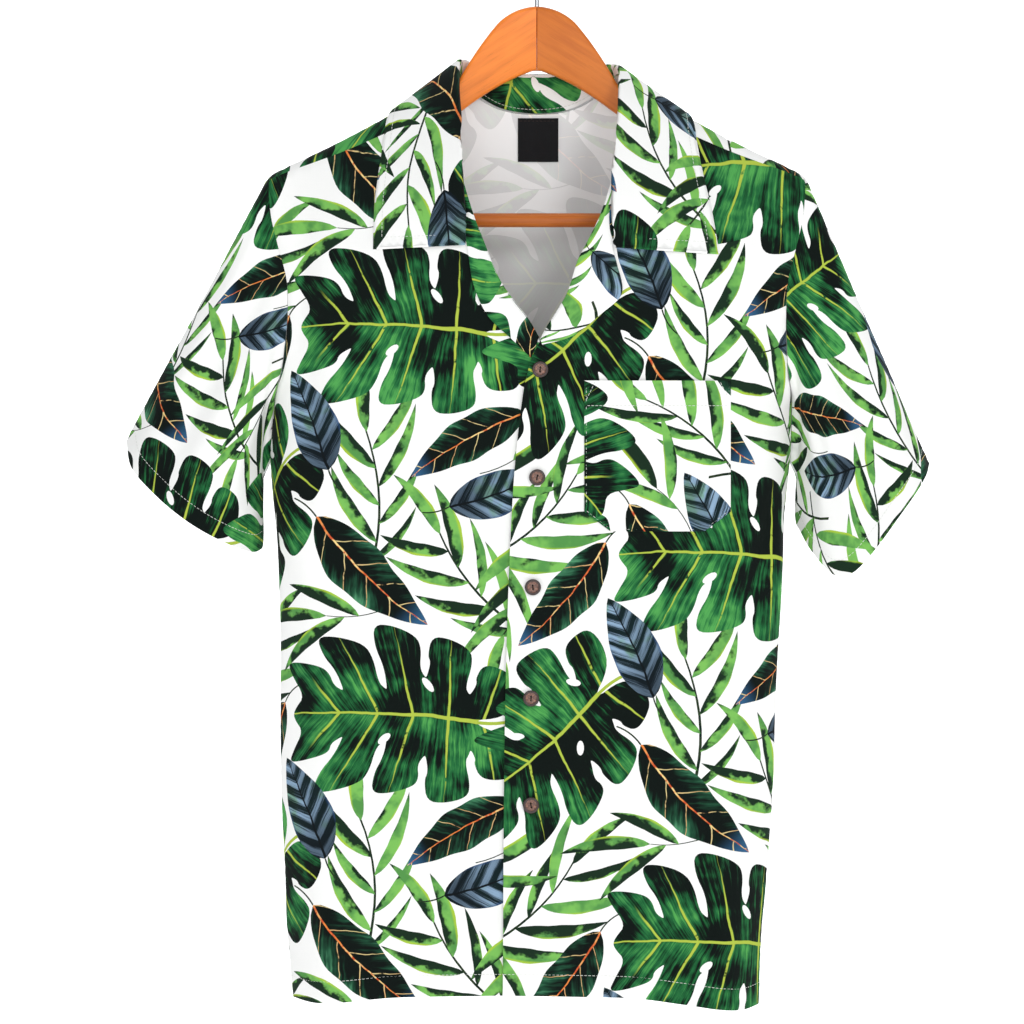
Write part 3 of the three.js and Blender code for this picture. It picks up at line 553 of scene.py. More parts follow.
def back_outline(step):
    shares = np.linspace(-1, 1, 240)
    hem_heights = hem_z(1, around(1, shares, np.full_like(shares, HEM_Z))[0])
    hem = flat_of(1, shares, hem_heights)
    top_outer = float(back_top(SHOULDER_TIP))
    out = np.linspace(SHOULDER_TIP, -SHOULDER_TIP, 300)
    tops = back_top(out)
    top = flat_of(1, share_at(1, out, tops), tops)
    right = np.linspace(hem_heights[-1], top_outer, 400)
    outer = flat_of(1, outer_share(right), right)
    outer[-1] = top[0]
    left = np.linspace(top_outer, hem_heights[0], 400)
    inner = flat_of(1, -outer_share(left), left)
    inner[0] = top[-1]
    return closed_outline((hem, outer, top, inner), step)


def seam_valley(distance):
    return -0.7 * np.exp(-((distance / 2.2) ** 2)) + 0.35 * np.exp(-(((distance - 6) / 4) ** 2))


def band(distance, width):
    """Raised band of doubled cloth along an edge, with a dip at its stitches."""
    raised = 0.35 * smooth((width + 1.2 - distance) / 1.6)
    return raised - 0.45 * np.exp(-(((distance - width + 1.5) / 1.3) ** 2))


def panel_lift(side, share, x, z):
    """Relief of a body panel: creases, slow waves, hem band and seams."""
    reach = np.abs(share)
    _, _, _, length = ring_parts(side, z)
    creases = FRONT_CREASES if side < 0 else BACK_CREASES
    under_collar = 1 - smooth((z - COLLAR_LOW) / COLLAR_FADE)
    lift = CREASE_SCALE * crease_lift(creases, x, z) * (0.25 + 0.75 * under_collar)
    lift = lift + 0.7 * ripple(x, z, 46, 1.3 if side < 0 else 2.1) * under_collar
    lift = lift + 0.22 * ripple(x, z, 15, 0.4) * under_collar
    hem_gap = z - hem_z(side, x)
    lift = lift + band(hem_gap, HEM_BAND)
    lift = lift + 0.35 * ripple(x, z, 11, 2.2) * smooth((40 - hem_gap) / 30)
    seam_gap = (outer_share(z) - reach) * length
    lift = lift * np.clip(seam_gap / 12, 0.15, 1)
    return lift + seam_valley(seam_gap)


def front_surface(hand):
    def place(flat):
        share = share_of(-1, flat)
        z = flat[:, 1]
        point = body_point(-1, share, z)
        if hand > 0:
            point[:, 1] -= lap_lift(point[:, 0], z)
        return point

    def lift(flat):
        share = share_of(-1, flat)
        x, _ = around(-1, share, flat[:, 1])
        amount = panel_lift(-1, share, x, flat[:, 1])
        edge_gap = hand * (x - front_edge_x(hand, flat[:, 1]))
        if hand < 0:
            return amount * np.clip(edge_gap / 25, 0.25, 1)
        raised_edge = 1.8 * np.exp(-edge_gap / 7) * smooth((-350 - flat[:, 1]) / 30)
        return amount * np.clip(edge_gap / 20, 0.4, 1) + raised_edge

    return raised(place, lift, 1)


def back_surface():
    def place(flat):
        return body_point(1, share_of(1, flat), flat[:, 1])

    def lift(flat):
        share = share_of(1, flat)
        x, _ = around(1, share, flat[:, 1])
        return panel_lift(1, share, x, flat[:, 1])

    return raised(place, lift, -1)


def slopes(place, flat, reach=0.6):
    """Unit normals of a surface from points close by."""
    east = place(flat + (reach, 0)) - place(flat - (reach, 0))
    north = place(flat + (0, reach)) - place(flat - (0, reach))
    return unit(np.cross(east, north))


def raised(place, lift, facing):
    """A surface lifted along its own normals. Facing is 1 or -1, so that they point outwards."""

    def lifted(flat):
        return place(flat) + facing * slopes(place, flat) * lift(flat)[:, None]

    def surface(flat):
        flat = np.asarray(flat, float)
        return lifted(flat), facing * slopes(lifted, flat, 0.9)

    return surface


def spline(points, count):
    """Evenly timed points on a centripetal spline through the given ones."""
    points = np.asarray(points, float)
    first = 2 * points[0] - points[1]
    last = 2 * points[-1] - points[-2]
    knots = np.vstack((first, points, last))
    at = np.linspace(0, len(points) - 1, count)
    i = np.minimum(at.astype(int), len(points) - 2)
    t = (at - i)[:, None]
    p0, p1, p2, p3 = knots[i], knots[i + 1], knots[i + 2], knots[i + 3]

    def gap(a, b):
        return np.maximum(np.sqrt(np.linalg.norm(b - a, axis=1, keepdims=True)), 1e-3)

    d0, d1, d2 = gap(p0, p1), gap(p1, p2), gap(p2, p3)
    m1 = ((p1 - p0) / d0 - (p2 - p0) / (d0 + d1) + (p2 - p1) / d1) * d1
    m2 = ((p2 - p1) / d1 - (p3 - p1) / (d1 + d2) + (p3 - p2) / d2) * d1
    curve = 2 * p1 - 2 * p2 + m1 + m2
    bend = 3 * (p2 - p1) - 2 * m1 - m2
    return p1 + m1 * t + bend * t**2 + curve * t**3


def cubic_weights(t):
    """Shares of the four nearest rows at a share t of the way between the middle two."""
    t2, t3 = t * t, t * t * t
    return (
        (-t + 2 * t2 - t3) / 2,
        (2 - 5 * t2 + 3 * t3) / 2,
        (t + 4 * t2 - 3 * t3) / 2,
        (t3 - t2) / 2,
    )


def table_at(rows, t):
    """Smooth reading of evenly spaced rows at shares t from 0 to 1."""
    last = len(rows) - 1
    x = np.clip(t, 0, 1) * last
    i = np.minimum(x.astype(int), last - 1)
    weights = cubic_weights((x - i)[:, None])
    return sum(rows[np.clip(i + k - 1, 0, last)] * weight for k, weight in enumerate(weights))


LOOP_ROWS = 61


def armhole_loop(hand):
    """Armhole from the back of the underarm over the shoulder to the front of it."""
    halves = []
    for side in (1, -1):
        heights = np.linspace(float(ridge_z(SHOULDER_TIP)), UNDERARM_Z, 200)
        halves.append(spaced(body_point(side, hand * outer_share(heights), heights), LOOP_ROWS))
    return np.vstack((halves[0][::-1], halves[1][1:]))


def cuff_loop(hand):
    front, back = CUFFS[hand]
    halves = [spaced(spline(points, 240), LOOP_ROWS) for points in (back, front)]
    return np.vstack((halves[0][::-1], halves[1][1:]))


def sleeve_point(hand, armhole, cuff, turn, w):
    start = table_at(armhole, turn + 0.5)
    end = table_at(cuff, turn + 0.5)
    chord = end - start
    low = np.sin(math.pi * turn) ** 2 * np.linalg.norm(chord, axis=1)
    lead = chord + np.array((hand, 0.0, 0.0)) * (SLEEVE_PUSH * low)[:, None]
    w = w[:, None]
    w2, w3 = w**2, w**3
    point = start * (2 * w3 - 3 * w2 + 1) + lead * (w3 - 2 * w2 + w)
    return point + end * (3 * w2 - 2 * w3) + chord * (w3 - w2)


def sleeve_length(hand, armhole, cuff, turns):
    """Length of the sleeve's cloth from armhole to cuff at each turn."""
    steps = np.linspace(0, 1, 25)
    lines = [sleeve_point(hand, armhole, cuff, turns, np.full(len(turns), w)) for w in steps]
    return np.linalg.norm(np.diff(lines, axis=0), axis=2).sum(axis=0)


def sleeve_surface(hand):
    """The sleeve's form over its flat cut, whose cap follows the armhole along the sleeve."""
    armhole, cuff = armhole_loop(hand), cuff_loop(hand)
    turns = np.linspace(-0.5, 0.5, len(armhole))
    lengths = sleeve_length(hand, armhole, cuff, turns)
    chords = cuff - armhole
    axis = chords.mean(axis=0)
    axis = axis / np.linalg.norm(axis)
    caps = -(armhole - armhole.mean(axis=0)) @ axis
    lengths = lengths * (chords @ axis) / np.linalg.norm(chords, axis=1)

    def parts(flat):
        turn = np.clip(flat[:, 0] / SLEEVE_ROUND, -0.5, 0.5)
        length = np.interp(turn, turns, lengths)
        return turn, (np.interp(turn, turns, caps) - flat[:, 1]) / length, length

    def place(flat):
        turn, w, _ = parts(flat)
        return sleeve_point(hand, armhole, cuff, turn, w)

    def lift(flat):
        turn, w, length = parts(flat)
        amount = 0.5 * ripple(flat[:, 0], flat[:, 1], 30, 0.7 + hand)
        for t0, w0, t1, w1, width, height in SLEEVE_CREASES:
            middle = mix(t0, t1, (w - w0) / (w1 - w0)) * SLEEVE_ROUND
            middle = middle + 3 * np.sin(w * 5 + 9 * t0)
            wide = width * (0.7 + 0.6 * w)
            part = height * smooth((w + 0.1) / 0.4) * np.exp(-(((flat[:, 0] - middle) / wide) ** 2))
            amount = amount + part * (0.5 + 0.5 * smooth((1.1 - w) / 0.5))
        from_cuff = (1 - w) * length
        from_arm = w * length
        calm = np.clip(from_arm / 14, 0.1, 1) * np.clip((0.5 - np.abs(turn)) / 0.03, 0.1, 1)
        amount = amount * calm + band(from_cuff, CUFF_BAND)
        amount = amount + seam_valley(from_arm)
        trough = np.exp(-(((from_arm - 13) / 9) ** 2)) * smooth((np.abs(turn) - 0.07) / 0.1)
        return amount - 2.2 * trough + seam_valley((0.5 - np.abs(turn)) * SLEEVE_ROUND)

    test = np.array(((0.06 * SLEEVE_ROUND, -90.0), (-0.06 * SLEEVE_ROUND, -90.0)))
    normal = slopes(place, test).mean(axis=0)
    facing = 1 if normal @ np.array((hand, 0.0, 0.6)) > 0 else -1
    return raised(place, lift, facing), turns, caps, caps - lengths


def sleeve_outline(turns, caps, hems, step):
    across = turns * SLEEVE_ROUND
    top = np.stack((across, caps), axis=-1)
    bottom = np.stack((across, hems), axis=-1)
    left = np.array((bottom[0], top[0]))
    right = np.array((top[-1], bottom[-1]))
    return closed_outline((bottom[::-1], left, top, right), step)


def clear_of(point, lift):
    """Keeps points of the collar off the cloth below them."""
    x = point[:, 0]
    middle_y = ridge_y(x)
    middle_z = ridge_z(x) - RIDGE_RADIUS
    dy, dz = point[:, 1] - middle_y, point[:, 2] - middle_z
    size = np.maximum(np.hypot(dy, dz), 1e-6)
    bulge = FRONT_DEPTH * swell_at(RIDGE_RADIUS - dz) * np.abs(dy / size)
    grow = np.maximum(size, RIDGE_RADIUS + lift + bulge) / size
    above = dz > 0
    side = np.where(dy < 0, -1, 1)
    least = np.where(
        dy < 0,
        face_y(-1, x, point[:, 2]) - lift * COLLAR_SLOPE,
        face_y(1, x, point[:, 2]) + lift * COLLAR_SLOPE,
    )
    behind = side * (point[:, 1] - least) < 0
    y = np.where(above, middle_y + dy * grow, np.where(behind, least, point[:, 1]))
    z = np.where(above, middle_z + dz * grow, point[:, 2])
    return np.stack((x, y, z), axis=-1)


def on_body(x, z, side, lift):
    point = np.array(((x, float(ridge_y(x)) + side, z),), float)
    if side == 0:
        point[0, 2] = float(ridge_z(x)) + lift
        return point[0]
    return clear_of(point, lift)[0]


COLLAR_ALONG = 181
COLLAR_ACROSS = 41
COLLAR_THICK = 1.9
COLLAR_SEAM = 7.5
# The collar's width is measured along this row of its points
COLLAR_WIDTH_ROW = 26


def collar_grid():
    """Points of the collar, in rows along it, from its seam over the roll to its edge."""
    seam, roll, edge = [], [], []
    for sx, sz, lift, rx, ry, rz, ex, ez, side in COLLAR_STATIONS:
        seam.append(on_body(sx, sz, side, lift))
        point = np.array(((rx, ry, rz),), float)
        roll.append(clear_of(point, COLLAR_ROLL_LIFT)[0] if side < 0 else point[0])
        edge.append(on_body(ex, ez, side, COLLAR_LIFT))
    a, r, e = (spline(line, COLLAR_ALONG) for line in (seam, roll, edge))
    t = np.linspace(0, 1, COLLAR_ALONG)
    lift = mix(COLLAR_ROLL_LIFT, COLLAR_LIFT, smooth(2.2 - np.abs(t - 0.5) * 4))
    rise = r - a
    size = np.linalg.norm(rise, axis=1, keepdims=True)
    base = a + rise / size * COLLAR_STACK
    sections = [base, mix(base, r, 0.5)]
    around_roll = 0.14
    sections.append(mix(base, r, 1 - around_roll * 1.5))
    first = clear_of(mix(r, e, around_roll), mix(lift, COLLAR_LIFT, around_roll * 1.6))
    sections.append(0.25 * mix(base, r, 1 - around_roll * 1.5) + 0.5 * r + 0.25 * first)
    sections.append(first)
    for u in (0.3, 0.42, 0.54, 0.66, 0.78, 0.9, 1.0):
        away = mix(lift, COLLAR_LIFT, min(u * 1.6, 1))
        sections.append(clear_of(mix(r, e, u), away))
    sections = np.array(sections)
    rows = [spaced(spline(sections[:, k], 160), COLLAR_ACROSS) for k in range(COLLAR_ALONG)]
    return np.array(rows)


def grid_surface(grid, width, height, lift, tests):
    """A surface through a grid of points, read by flat places from 0 to width and height.

    Its normals point to the front at the tests, which are shares of the width and height.
    """
    along, across = grid.shape[:2]

    def place(flat):
        x = np.clip(flat[:, 0] / width, -0.02, 1.02) * (along - 1)
        y = np.clip(flat[:, 1] / height, -0.02, 1.02) * (across - 1)
        i = np.clip(np.floor(x).astype(int), 0, along - 2)
        j = np.clip(np.floor(y).astype(int), 0, across - 2)
        total = 0
        for a, weight_a in enumerate(cubic_weights(x - i)):
            row = np.clip(i + a - 1, 0, along - 1)
            for b, weight_b in enumerate(cubic_weights(y - j)):
                column = np.clip(j + b - 1, 0, across - 1)
                total = total + grid[row, column] * (weight_a * weight_b)[:, None]
        return total

    surface = raised(place, lift, 1)
    forward = surface(np.array(tests) * (width, height))[1][:, 1].mean() <= 0
    return surface if forward else raised(place, lift, -1)


LAPEL_ALONG = 80
LAPEL_ACROSS = 25
LAPEL_ROLL = 3.0
LAPEL_RISE = 2.3


def lapel_grid(table, lapped):
    line = spline(table, LAPEL_ALONG)
    grid = np.zeros((LAPEL_ALONG, LAPEL_ACROSS, 3))
    for j, u in enumerate(np.linspace(0, 1, LAPEL_ACROSS)):
        x = mix(line[:, 0], line[:, 2], u)
        z = mix(line[:, 1], line[:, 3], u)
        width = np.hypot(line[:, 2] - line[:, 0], line[:, 3] - line[:, 1])
        from_roll = np.clip(u * width / LAPEL_ROLL, 0, 1)
        lift = LAPEL_RISE * np.sqrt(1 - (1 - from_roll) ** 2) - 0.3
        lap = lap_lift(x, z) if lapped else 0
        grid[:, j] = np.stack((x, face_y(-1, x, z) - lift - lap, z), axis=-1)
    return grid


def pocket_surface():
    def place(flat):
        x, z = flat[:, 0], flat[:, 1]
        u = np.clip((x - POCKET_LEFT) / (POCKET_RIGHT - POCKET_LEFT), 0, 1)
        w = np.clip((z - POCKET_SIDE) / (POCKET_TOP - POCKET_SIDE), 0, 1)
        away = 0.95 + 0.8 * smooth(pocket_rim(x, z) / 5)
        away = away + 1.5 * smooth((w - 0.6) / 0.4) * np.sin(math.pi * u)
        return np.stack((x, face_y(-1, x, z) - away - lap_lift(x, z), z), axis=-1)

    def lift(flat):
        x, z = flat[:, 0], flat[:, 1]
        rim = pocket_rim(x, z)
        amount = band(POCKET_TOP - z, POCKET_BAND) - 0.3 * np.exp(-((rim - POCKET_SEAM) ** 2))
        return amount + 0.3 * ripple(x, z, 22, 5.1) * smooth(rim / 12)

    return raised(place, lift, 1)


def pocket_rim(x, z):
    """Distance from the pocket's sides and its bottom with the cut corners."""
    inset = np.minimum(x - POCKET_LEFT, POCKET_RIGHT - x)
    bottom = mix(POCKET_SIDE, POCKET_BOTTOM, np.clip(inset / POCKET_CUT, 0, 1))
    return np.minimum(inset, z - bottom)


# The print: each leaf is an outline in its own units, across from -0.5 to 0.5 and along from 0 to 1


def rounded(points):
    """Outline with its corners cut twice."""
    points = np.asarray(points, float)
    for _ in range(2):
        after = np.roll(points, -1, axis=0)
        near = points * 0.75 + after * 0.25
        far = points * 0.25 + after * 0.75
        points = np.stack((near, far), axis=1).reshape(-1, 2)
    return points


LOBE_STEP = 0.200
LOBE_START = -0.07
LOBE_REACH = (0.31, 0.44, 0.47, 0.41, 0.28)
NOTCH_SHARES = (0.62, 0.36, 0.50, 0.34, 0.50)


def fan_point(phase, out):
    """A place on a leaf whose veins fan out from the midrib."""
    return out, phase * (1 + 1.30 * out) - 0.16 * out


def monstera_outline(rng):
    sides = []
    for hand in (1, -1):
        line = [(0.0, 0.02)]
        last = len(LOBE_REACH) - 1
        shift = rng.uniform(-0.02, 0.02)
        for k, reach in enumerate(LOBE_REACH):
            middle = LOBE_START + LOBE_STEP * k + shift
            reach = reach * rng.uniform(0.92, 1.06)
            notch = reach * NOTCH_SHARES[k] * rng.uniform(0.85, 1.15)
            half = LOBE_STEP / 2
            if k == 0:
                lobe = [(-0.9, 0.05), (-1.1, reach * 0.5), (-0.7, reach * 0.9)]
            else:
                lobe = [(-0.92, notch), (-0.72, notch * 1.25)]
                lobe += [(-0.88, mix(notch, reach, 0.6)), (-0.74, reach * 0.92)]
            lobe += [(0.05, reach * 1.03), (0.70, reach * 1.03), (0.90, reach * 0.78)]
            if k < last:
                after = LOBE_REACH[k + 1] * NOTCH_SHARES[k + 1]
                lobe += [(0.80, mix(after, reach, 0.35)), (0.98, after * 0.98)]
            line += [fan_point(middle + half * share, out) for share, out in lobe]
        line += [(0.10, 0.93), (0.035, 0.985)]
        sides.append(np.array(line) * (hand, 1))
    outline = np.vstack((sides[0], [(0.0, 1.0)], sides[1][:0:-1]))
    return rounded(outline)


def monstera_holes(rng):
    holes = []
    for hand, k in ((1, 1.5), (1, 3.5), (-1, 2.5), (-1, 0.6)):
        if rng.uniform() < 0.25:
            continue
        phase = LOBE_START + LOBE_STEP * k
        out = rng.uniform(0.13, 0.18)
        x, y = fan_point(phase, out)
        turn = math.radians(58 - 26 * k / 4)
        long, wide = rng.uniform(0.038, 0.055), rng.uniform(0.017, 0.024)
        angles = np.linspace(0, 2 * math.pi, 15)[:-1]
        a, b = long * np.cos(angles), wide * np.sin(angles)
        px = x + a * math.sin(turn) - b * math.cos(turn)
        py = y + a * math.cos(turn) + b * math.sin(turn)
        holes.append(np.stack((hand * px, py), axis=-1))
    return holes


def oval_outline(width, peak, rng, wave, count):
    """Leaf outline with its widest place at the given share of its length."""
    t = np.linspace(0, 1, count)
    power = math.log(0.5) / math.log(peak)
    body = width / 2 * np.sin(math.pi * t**power) ** 0.82
    edges = []
    for hand in (1, -1):
        ripples = wave * np.sin(t * 21 + rng.uniform(0, 6)) * np.sin(math.pi * t)
        edges.append(np.stack((hand * (body * (1 + ripples)), t), axis=-1))
    return np.vstack((edges[0][:-1], edges[1][:0:-1]))


def strip_outline(width, end_width, count):
    t = np.linspace(0, 1, count)
    half = mix(width, end_width, t) / 2
    right = np.stack((half, t), axis=-1)
    left = np.stack((-half, t), axis=-1)
    return np.vstack((right, left[::-1]))


class Motif:
    """One painted shape: its outline and where it lies on the repeat."""

    def __init__(self, kind, place, angle, length, bend, mirror, seed, outline):
        self.kind = kind
        self.place = np.array(place, float)
        self.turn = math.radians(angle)
        self.length = length
        self.bend = bend
        self.mirror = mirror
        self.seed = seed
        self.outline = self.laid(outline)

    def laid(self, local):
        across = (local[:, 0] * self.mirror + self.bend * 4 * local[:, 1] * (1 - local[:, 1])) * self.length
        along = local[:, 1] * self.length
        return self.place + turned(across, along, self.turn)


def turned(across, along, turn):
    c, s = math.cos(turn), math.sin(turn)
    return np.stack((across * c - along * s, across * s + along * c), axis=-1)


def spray(place, angle, length, bend, mirror, rng, seed):
    """A dark stem with slim leaves on both sides and one at its tip."""
    stem = Motif(STALK, place, angle, length, bend, 1, seed, strip_outline(0.019, 0.011, 12))
    parts = [stem]
    count = 8
    for k in range(count):
        t = 0.18 + 0.8 * k / (count - 1)
        hand = mirror if k % 2 else -mirror
        if k == count - 1:
            lean, size = rng.uniform(-8, 8), 62
        else:
            lean, size = hand * rng.uniform(24, 44) * (1.1 - 0.3 * t), rng.uniform(54, 78)
        at = stem.laid(np.array(((0.0, t),)))[0]
        outline = oval_outline(rng.uniform(0.11, 0.18), 0.40, rng, 0.06, 15)
        parts.append(Motif(
            SLIM, at, angle + lean, size, -0.07 * hand, hand, rng.uniform(0, 40), outline
        ))
    return parts


def pair(place, angle, length, bend, mirror, rng, seed):
    """Two or three slim leaves on a short stalk."""
    stem = Motif(STALK, place, angle, length * 0.7, bend, 1, seed, strip_outline(0.018, 0.012, 8))
    parts = [stem]
    for t, lean, size in ((0.55, 34, 0.85), (0.75, -30, 0.95), (1.0, 4, 1.0)):
        at = stem.laid(np.array(((0.0, t),)))[0]
        outline = oval_outline(rng.uniform(0.13, 0.17), 0.42, rng, 0.04, 15)
        parts.append(Motif(
            SLIM, at, angle + lean * mirror, length * size, 0.06, mirror, rng.uniform(0, 40), outline
        ))
    return parts


def repeat_motifs():
    """Every painted shape of one repeat, from the lowest to the topmost."""
    rng = np.random.default_rng(PRINT_SEED)
    made = []
    for kind, x, y, angle, length, bend, mirror in MOTIFS:
        seed = rng.uniform(0, 40)
        if kind == "spray":
            made.append(spray((x, y), angle, length, bend, mirror, rng, seed))
            continue
        if kind == "pair":
            made.append(pair((x, y), angle, length, bend, mirror, rng, seed))
            continue
        if kind == MONSTERA:
            outline = monstera_outline(rng)
            stalk_kind, stalk_width, stalk_length = GREEN_STALK, 0.055, 0.32
        elif kind == STRIPED:
            outline = oval_outline(0.43, 0.42, rng, 0.015, 26)
            stalk_kind, stalk_width, stalk_length = STALK, 0.05, 0.26
        else:
            outline = oval_outline(0.34, 0.42, rng, 0.05, 28)
            stalk_kind, stalk_width, stalk_length = STALK, 0.05, 0.2
        size = length * stalk_length
        stalk = Motif(
            stalk_kind, (x, y), angle + 180 + 8 * mirror, size, 0.08 * mirror, 1, seed,
            strip_outline(stalk_width * 1.1, stalk_width, 8),
        )
        parts = [stalk, Motif(kind, (x, y), angle, length, bend, mirror, seed, outline)]
        if kind == MONSTERA:
            for hole in monstera_holes(rng):
                parts.append(Motif(GROUND, (x, y), angle, length, bend, mirror, seed, hole))
        made.append(parts)
    return [part for parts in made for part in parts]


REPEAT = repeat_motifs()


def print_layout(low, high, across, up, angle):
    """Outlines and details of the motifs that reach a piece of cloth."""
    offset = np.array((across, up), float)
    turn = math.radians(angle)
    corners = np.array(box_corners(*low, *high))
    back = (turned(*corners.T, -turn) - offset) / (REPEAT_WIDTH, REPEAT_HEIGHT)
    first = np.floor(back.min(axis=0)).astype(int) - 1
    last = np.ceil(back.max(axis=0)).astype(int) + 1
    found = []
    for motif in REPEAT:
        for column in range(first[0], last[0] + 1):
            for row in range(first[1], last[1] + 1):
                drop = REPEAT_HEIGHT / 2 if column % 2 else 0.0
                shift = np.array((column * REPEAT_WIDTH, row * REPEAT_HEIGHT + drop)) + offset
                outline = turned(*(motif.outline + shift).T, turn)
                if (outline.max(axis=0) < low).any() or (outline.min(axis=0) > high).any():
                    continue
                at = motif.place + shift
                place = turned(at[:1], at[1:], turn)[0]
                seed = motif.seed + 3.7 * column + 1.9 * row
                facts = (motif.kind, place[0], place[1], motif.turn + turn, motif.length,
                         motif.bend, motif.mirror, seed % 40)
                found.append((outline, facts))
    return found


def inside_outline(outline, points):
    """Whether each point lies inside a closed outline."""
    result = np.zeros(len(points), bool)
    x, y = points[:, 0], points[:, 1]
    ends = np.roll(outline, -1, axis=0)
    for (x0, y0), (x1, y1) in zip(outline, ends):
        if y0 == y1:
            continue
        crosses = (y0 > y) != (y1 > y)
        result ^= crosses & (x < (x1 - x0) * (y - y0) / (y1 - y0) + x0)
    return result


def outline_gap(outline, points, reach):
    """Distance of each point from an outline, no more than reach."""
    gap = np.full(len(points), reach, float)
    ends = np.roll(outline, -1, axis=0)
    for start, end in zip(outline, ends):
        near = np.abs(points - (start + end) / 2).max(axis=1) < reach + np.abs(end - start).max()
        if not near.any():
            continue
        line = end - start
        part = points[near] - start
        t = np.clip(part @ line / max(line @ line, 1e-9), 0, 1)
        gap[near] = np.minimum(gap[near], np.linalg.norm(part - t[:, None] * line, axis=1))
    return gap


def left_turning(outline):
    """The same outline, run so that its inside is on the left."""
    x, y = outline[:, 0], outline[:, 1]
    area = np.dot(x, np.roll(y, -1)) - np.dot(y, np.roll(x, -1))
    return outline if area > 0 else outline[::-1]


def cut_cloth(outline, layout, step):
    """Triangles of a flat piece of cloth with its print cut into it, and each one's motif."""
    outline = left_turning(outline)
    low, high = outline.min(axis=0), outline.max(axis=0)
    xs = np.arange(low[0], high[0], step)
    ys = np.arange(low[1], high[1], step * 0.87)
    gx, gy = np.meshgrid(xs, ys)
    gx[1::2] += step / 2
    grid = np.stack((gx.ravel(), gy.ravel()), axis=-1)
    grid = grid[inside_outline(outline, grid)]
    grid = grid[outline_gap(outline, grid, step) > 0.45 * step]
    points = [outline, grid]
    faces = [list(range(len(outline)))]
    start = len(outline) + len(grid)
    for shape, _ in layout:
        points.append(left_turning(shape))
        faces.append(list(range(start, start + len(shape))))
        start += len(shape)
    flat = [Vector(point) for point in np.vstack(points)]
    made = delaunay_2d_cdt(flat, [], faces, 1, 1e-4, True)
    triangles, owners = [], []
    for face, sources in zip(made[2], made[5]):
        if 0 not in sources:
            continue
        for k in range(1, len(face) - 1):
            triangles.append((face[0], face[k], face[k + 1]))
            owners.append(max(sources) - 1)
    return np.array([tuple(point) for point in made[0]]), np.array(triangles), np.array(owners)


def corner_print(flat, triangles, owners, layout):
    """Place on its own motif, kind and tone of every corner."""
    none = (GROUND, 0.0, 0.0, 0.0, 100.0, 0.0, 1, 0.0)
    facts = np.array([fact for _, fact in layout] + [none], float)
    own = facts[owners]
    corners = flat[triangles]
    across = corners[:, :, 0] - own[:, None, 1]
    along = corners[:, :, 1] - own[:, None, 2]
    c, s = np.cos(own[:, None, 3]), np.sin(own[:, None, 3])
    x = (across * c + along * s) / own[:, None, 4]
    y = (-across * s + along * c) / own[:, None, 4]
    x = (x - own[:, None, 5] * 4 * y * (1 - y)) * own[:, None, 6]
    kind = np.broadcast_to(own[:, None, 0], x.shape)
    seed = np.broadcast_to(own[:, None, 7], x.shape)
    return np.stack((x, y, kind), axis=-1), seed


def cloth_mesh(name, outline, surface, layout, step, thick):
    """A sheet of cloth with an outer and an inner layer and a rim, print included."""
    flat, triangles, owners = cut_cloth(outline, layout, step)
    used, back = np.unique(triangles, return_inverse=True)
    flat = flat[used]
    triangles = back.reshape(-1, 3)
    a, b, c = (flat[triangles[:, k]] for k in range(3))
    area = (b[:, 0] - a[:, 0]) * (c[:, 1] - a[:, 1]) - (b[:, 1] - a[:, 1]) * (c[:, 0] - a[:, 0])
    turned_over = area < 0
    triangles[turned_over] = triangles[turned_over][:, ::-1]
    sound = np.abs(area) > 1e-7
    triangles, owners = triangles[sound], owners[sound]
    leaf, seed = corner_print(flat, triangles, owners, layout)
    middle, normal = surface(flat)
    outer = middle + normal * thick / 2
    inner = middle - normal * thick / 2
    first = outer[triangles[:, 0]]
    facing = np.cross(outer[triangles[:, 1]] - first, outer[triangles[:, 2]] - first)
    agrees = np.einsum("ij,ij->i", facing, normal[triangles[:, 0]]).sum() > 0
    if not agrees:
        triangles = triangles[:, ::-1]
        leaf, seed = leaf[:, ::-1], seed[:, ::-1]
    rim_faces, rim_leaf, rim_seed, rim_points, rim_normals, rim_flat = rim_parts(
        flat, triangles, leaf, seed, outer, inner, normal
    )
    count = len(flat)
    points = np.vstack((outer, inner, rim_points)) * METRE
    normals = np.vstack((normal, -normal, rim_normals))
    places = np.vstack((flat, flat, rim_flat))
    faces = np.vstack((triangles, triangles[:, ::-1] + count, rim_faces + 2 * count))
    leaves = np.vstack((leaf.reshape(-1, 3), leaf[:, ::-1].reshape(-1, 3), rim_leaf))
    seeds = np.concatenate((seed.ravel(), seed[:, ::-1].ravel(), rim_seed))
    inside = np.zeros(len(seeds))
    inside[triangles.size: 2 * triangles.size] = 1
    tones = np.stack((seeds, inside, np.zeros(len(seeds))), axis=-1)
    mesh = new_mesh(name, points, faces, normals)
    mesh_values(mesh, "leaf", "CORNER", leaves)
    mesh_values(mesh, "tone", "CORNER", tones)
    mesh_values(mesh, "cut", "POINT", np.column_stack((places, np.zeros(len(places)))))
    return mesh


def open_edges(triangles, count):
    """The edges of all the triangles, and the numbers of those that only one triangle has."""
    edges = np.concatenate((triangles[:, (0, 1)], triangles[:, (1, 2)], triangles[:, (2, 0)]))
    low, high = edges.min(axis=1), edges.max(axis=1)
    _, where, times = np.unique(low * count + high, return_index=True, return_counts=True)
    return edges, where[times == 1]


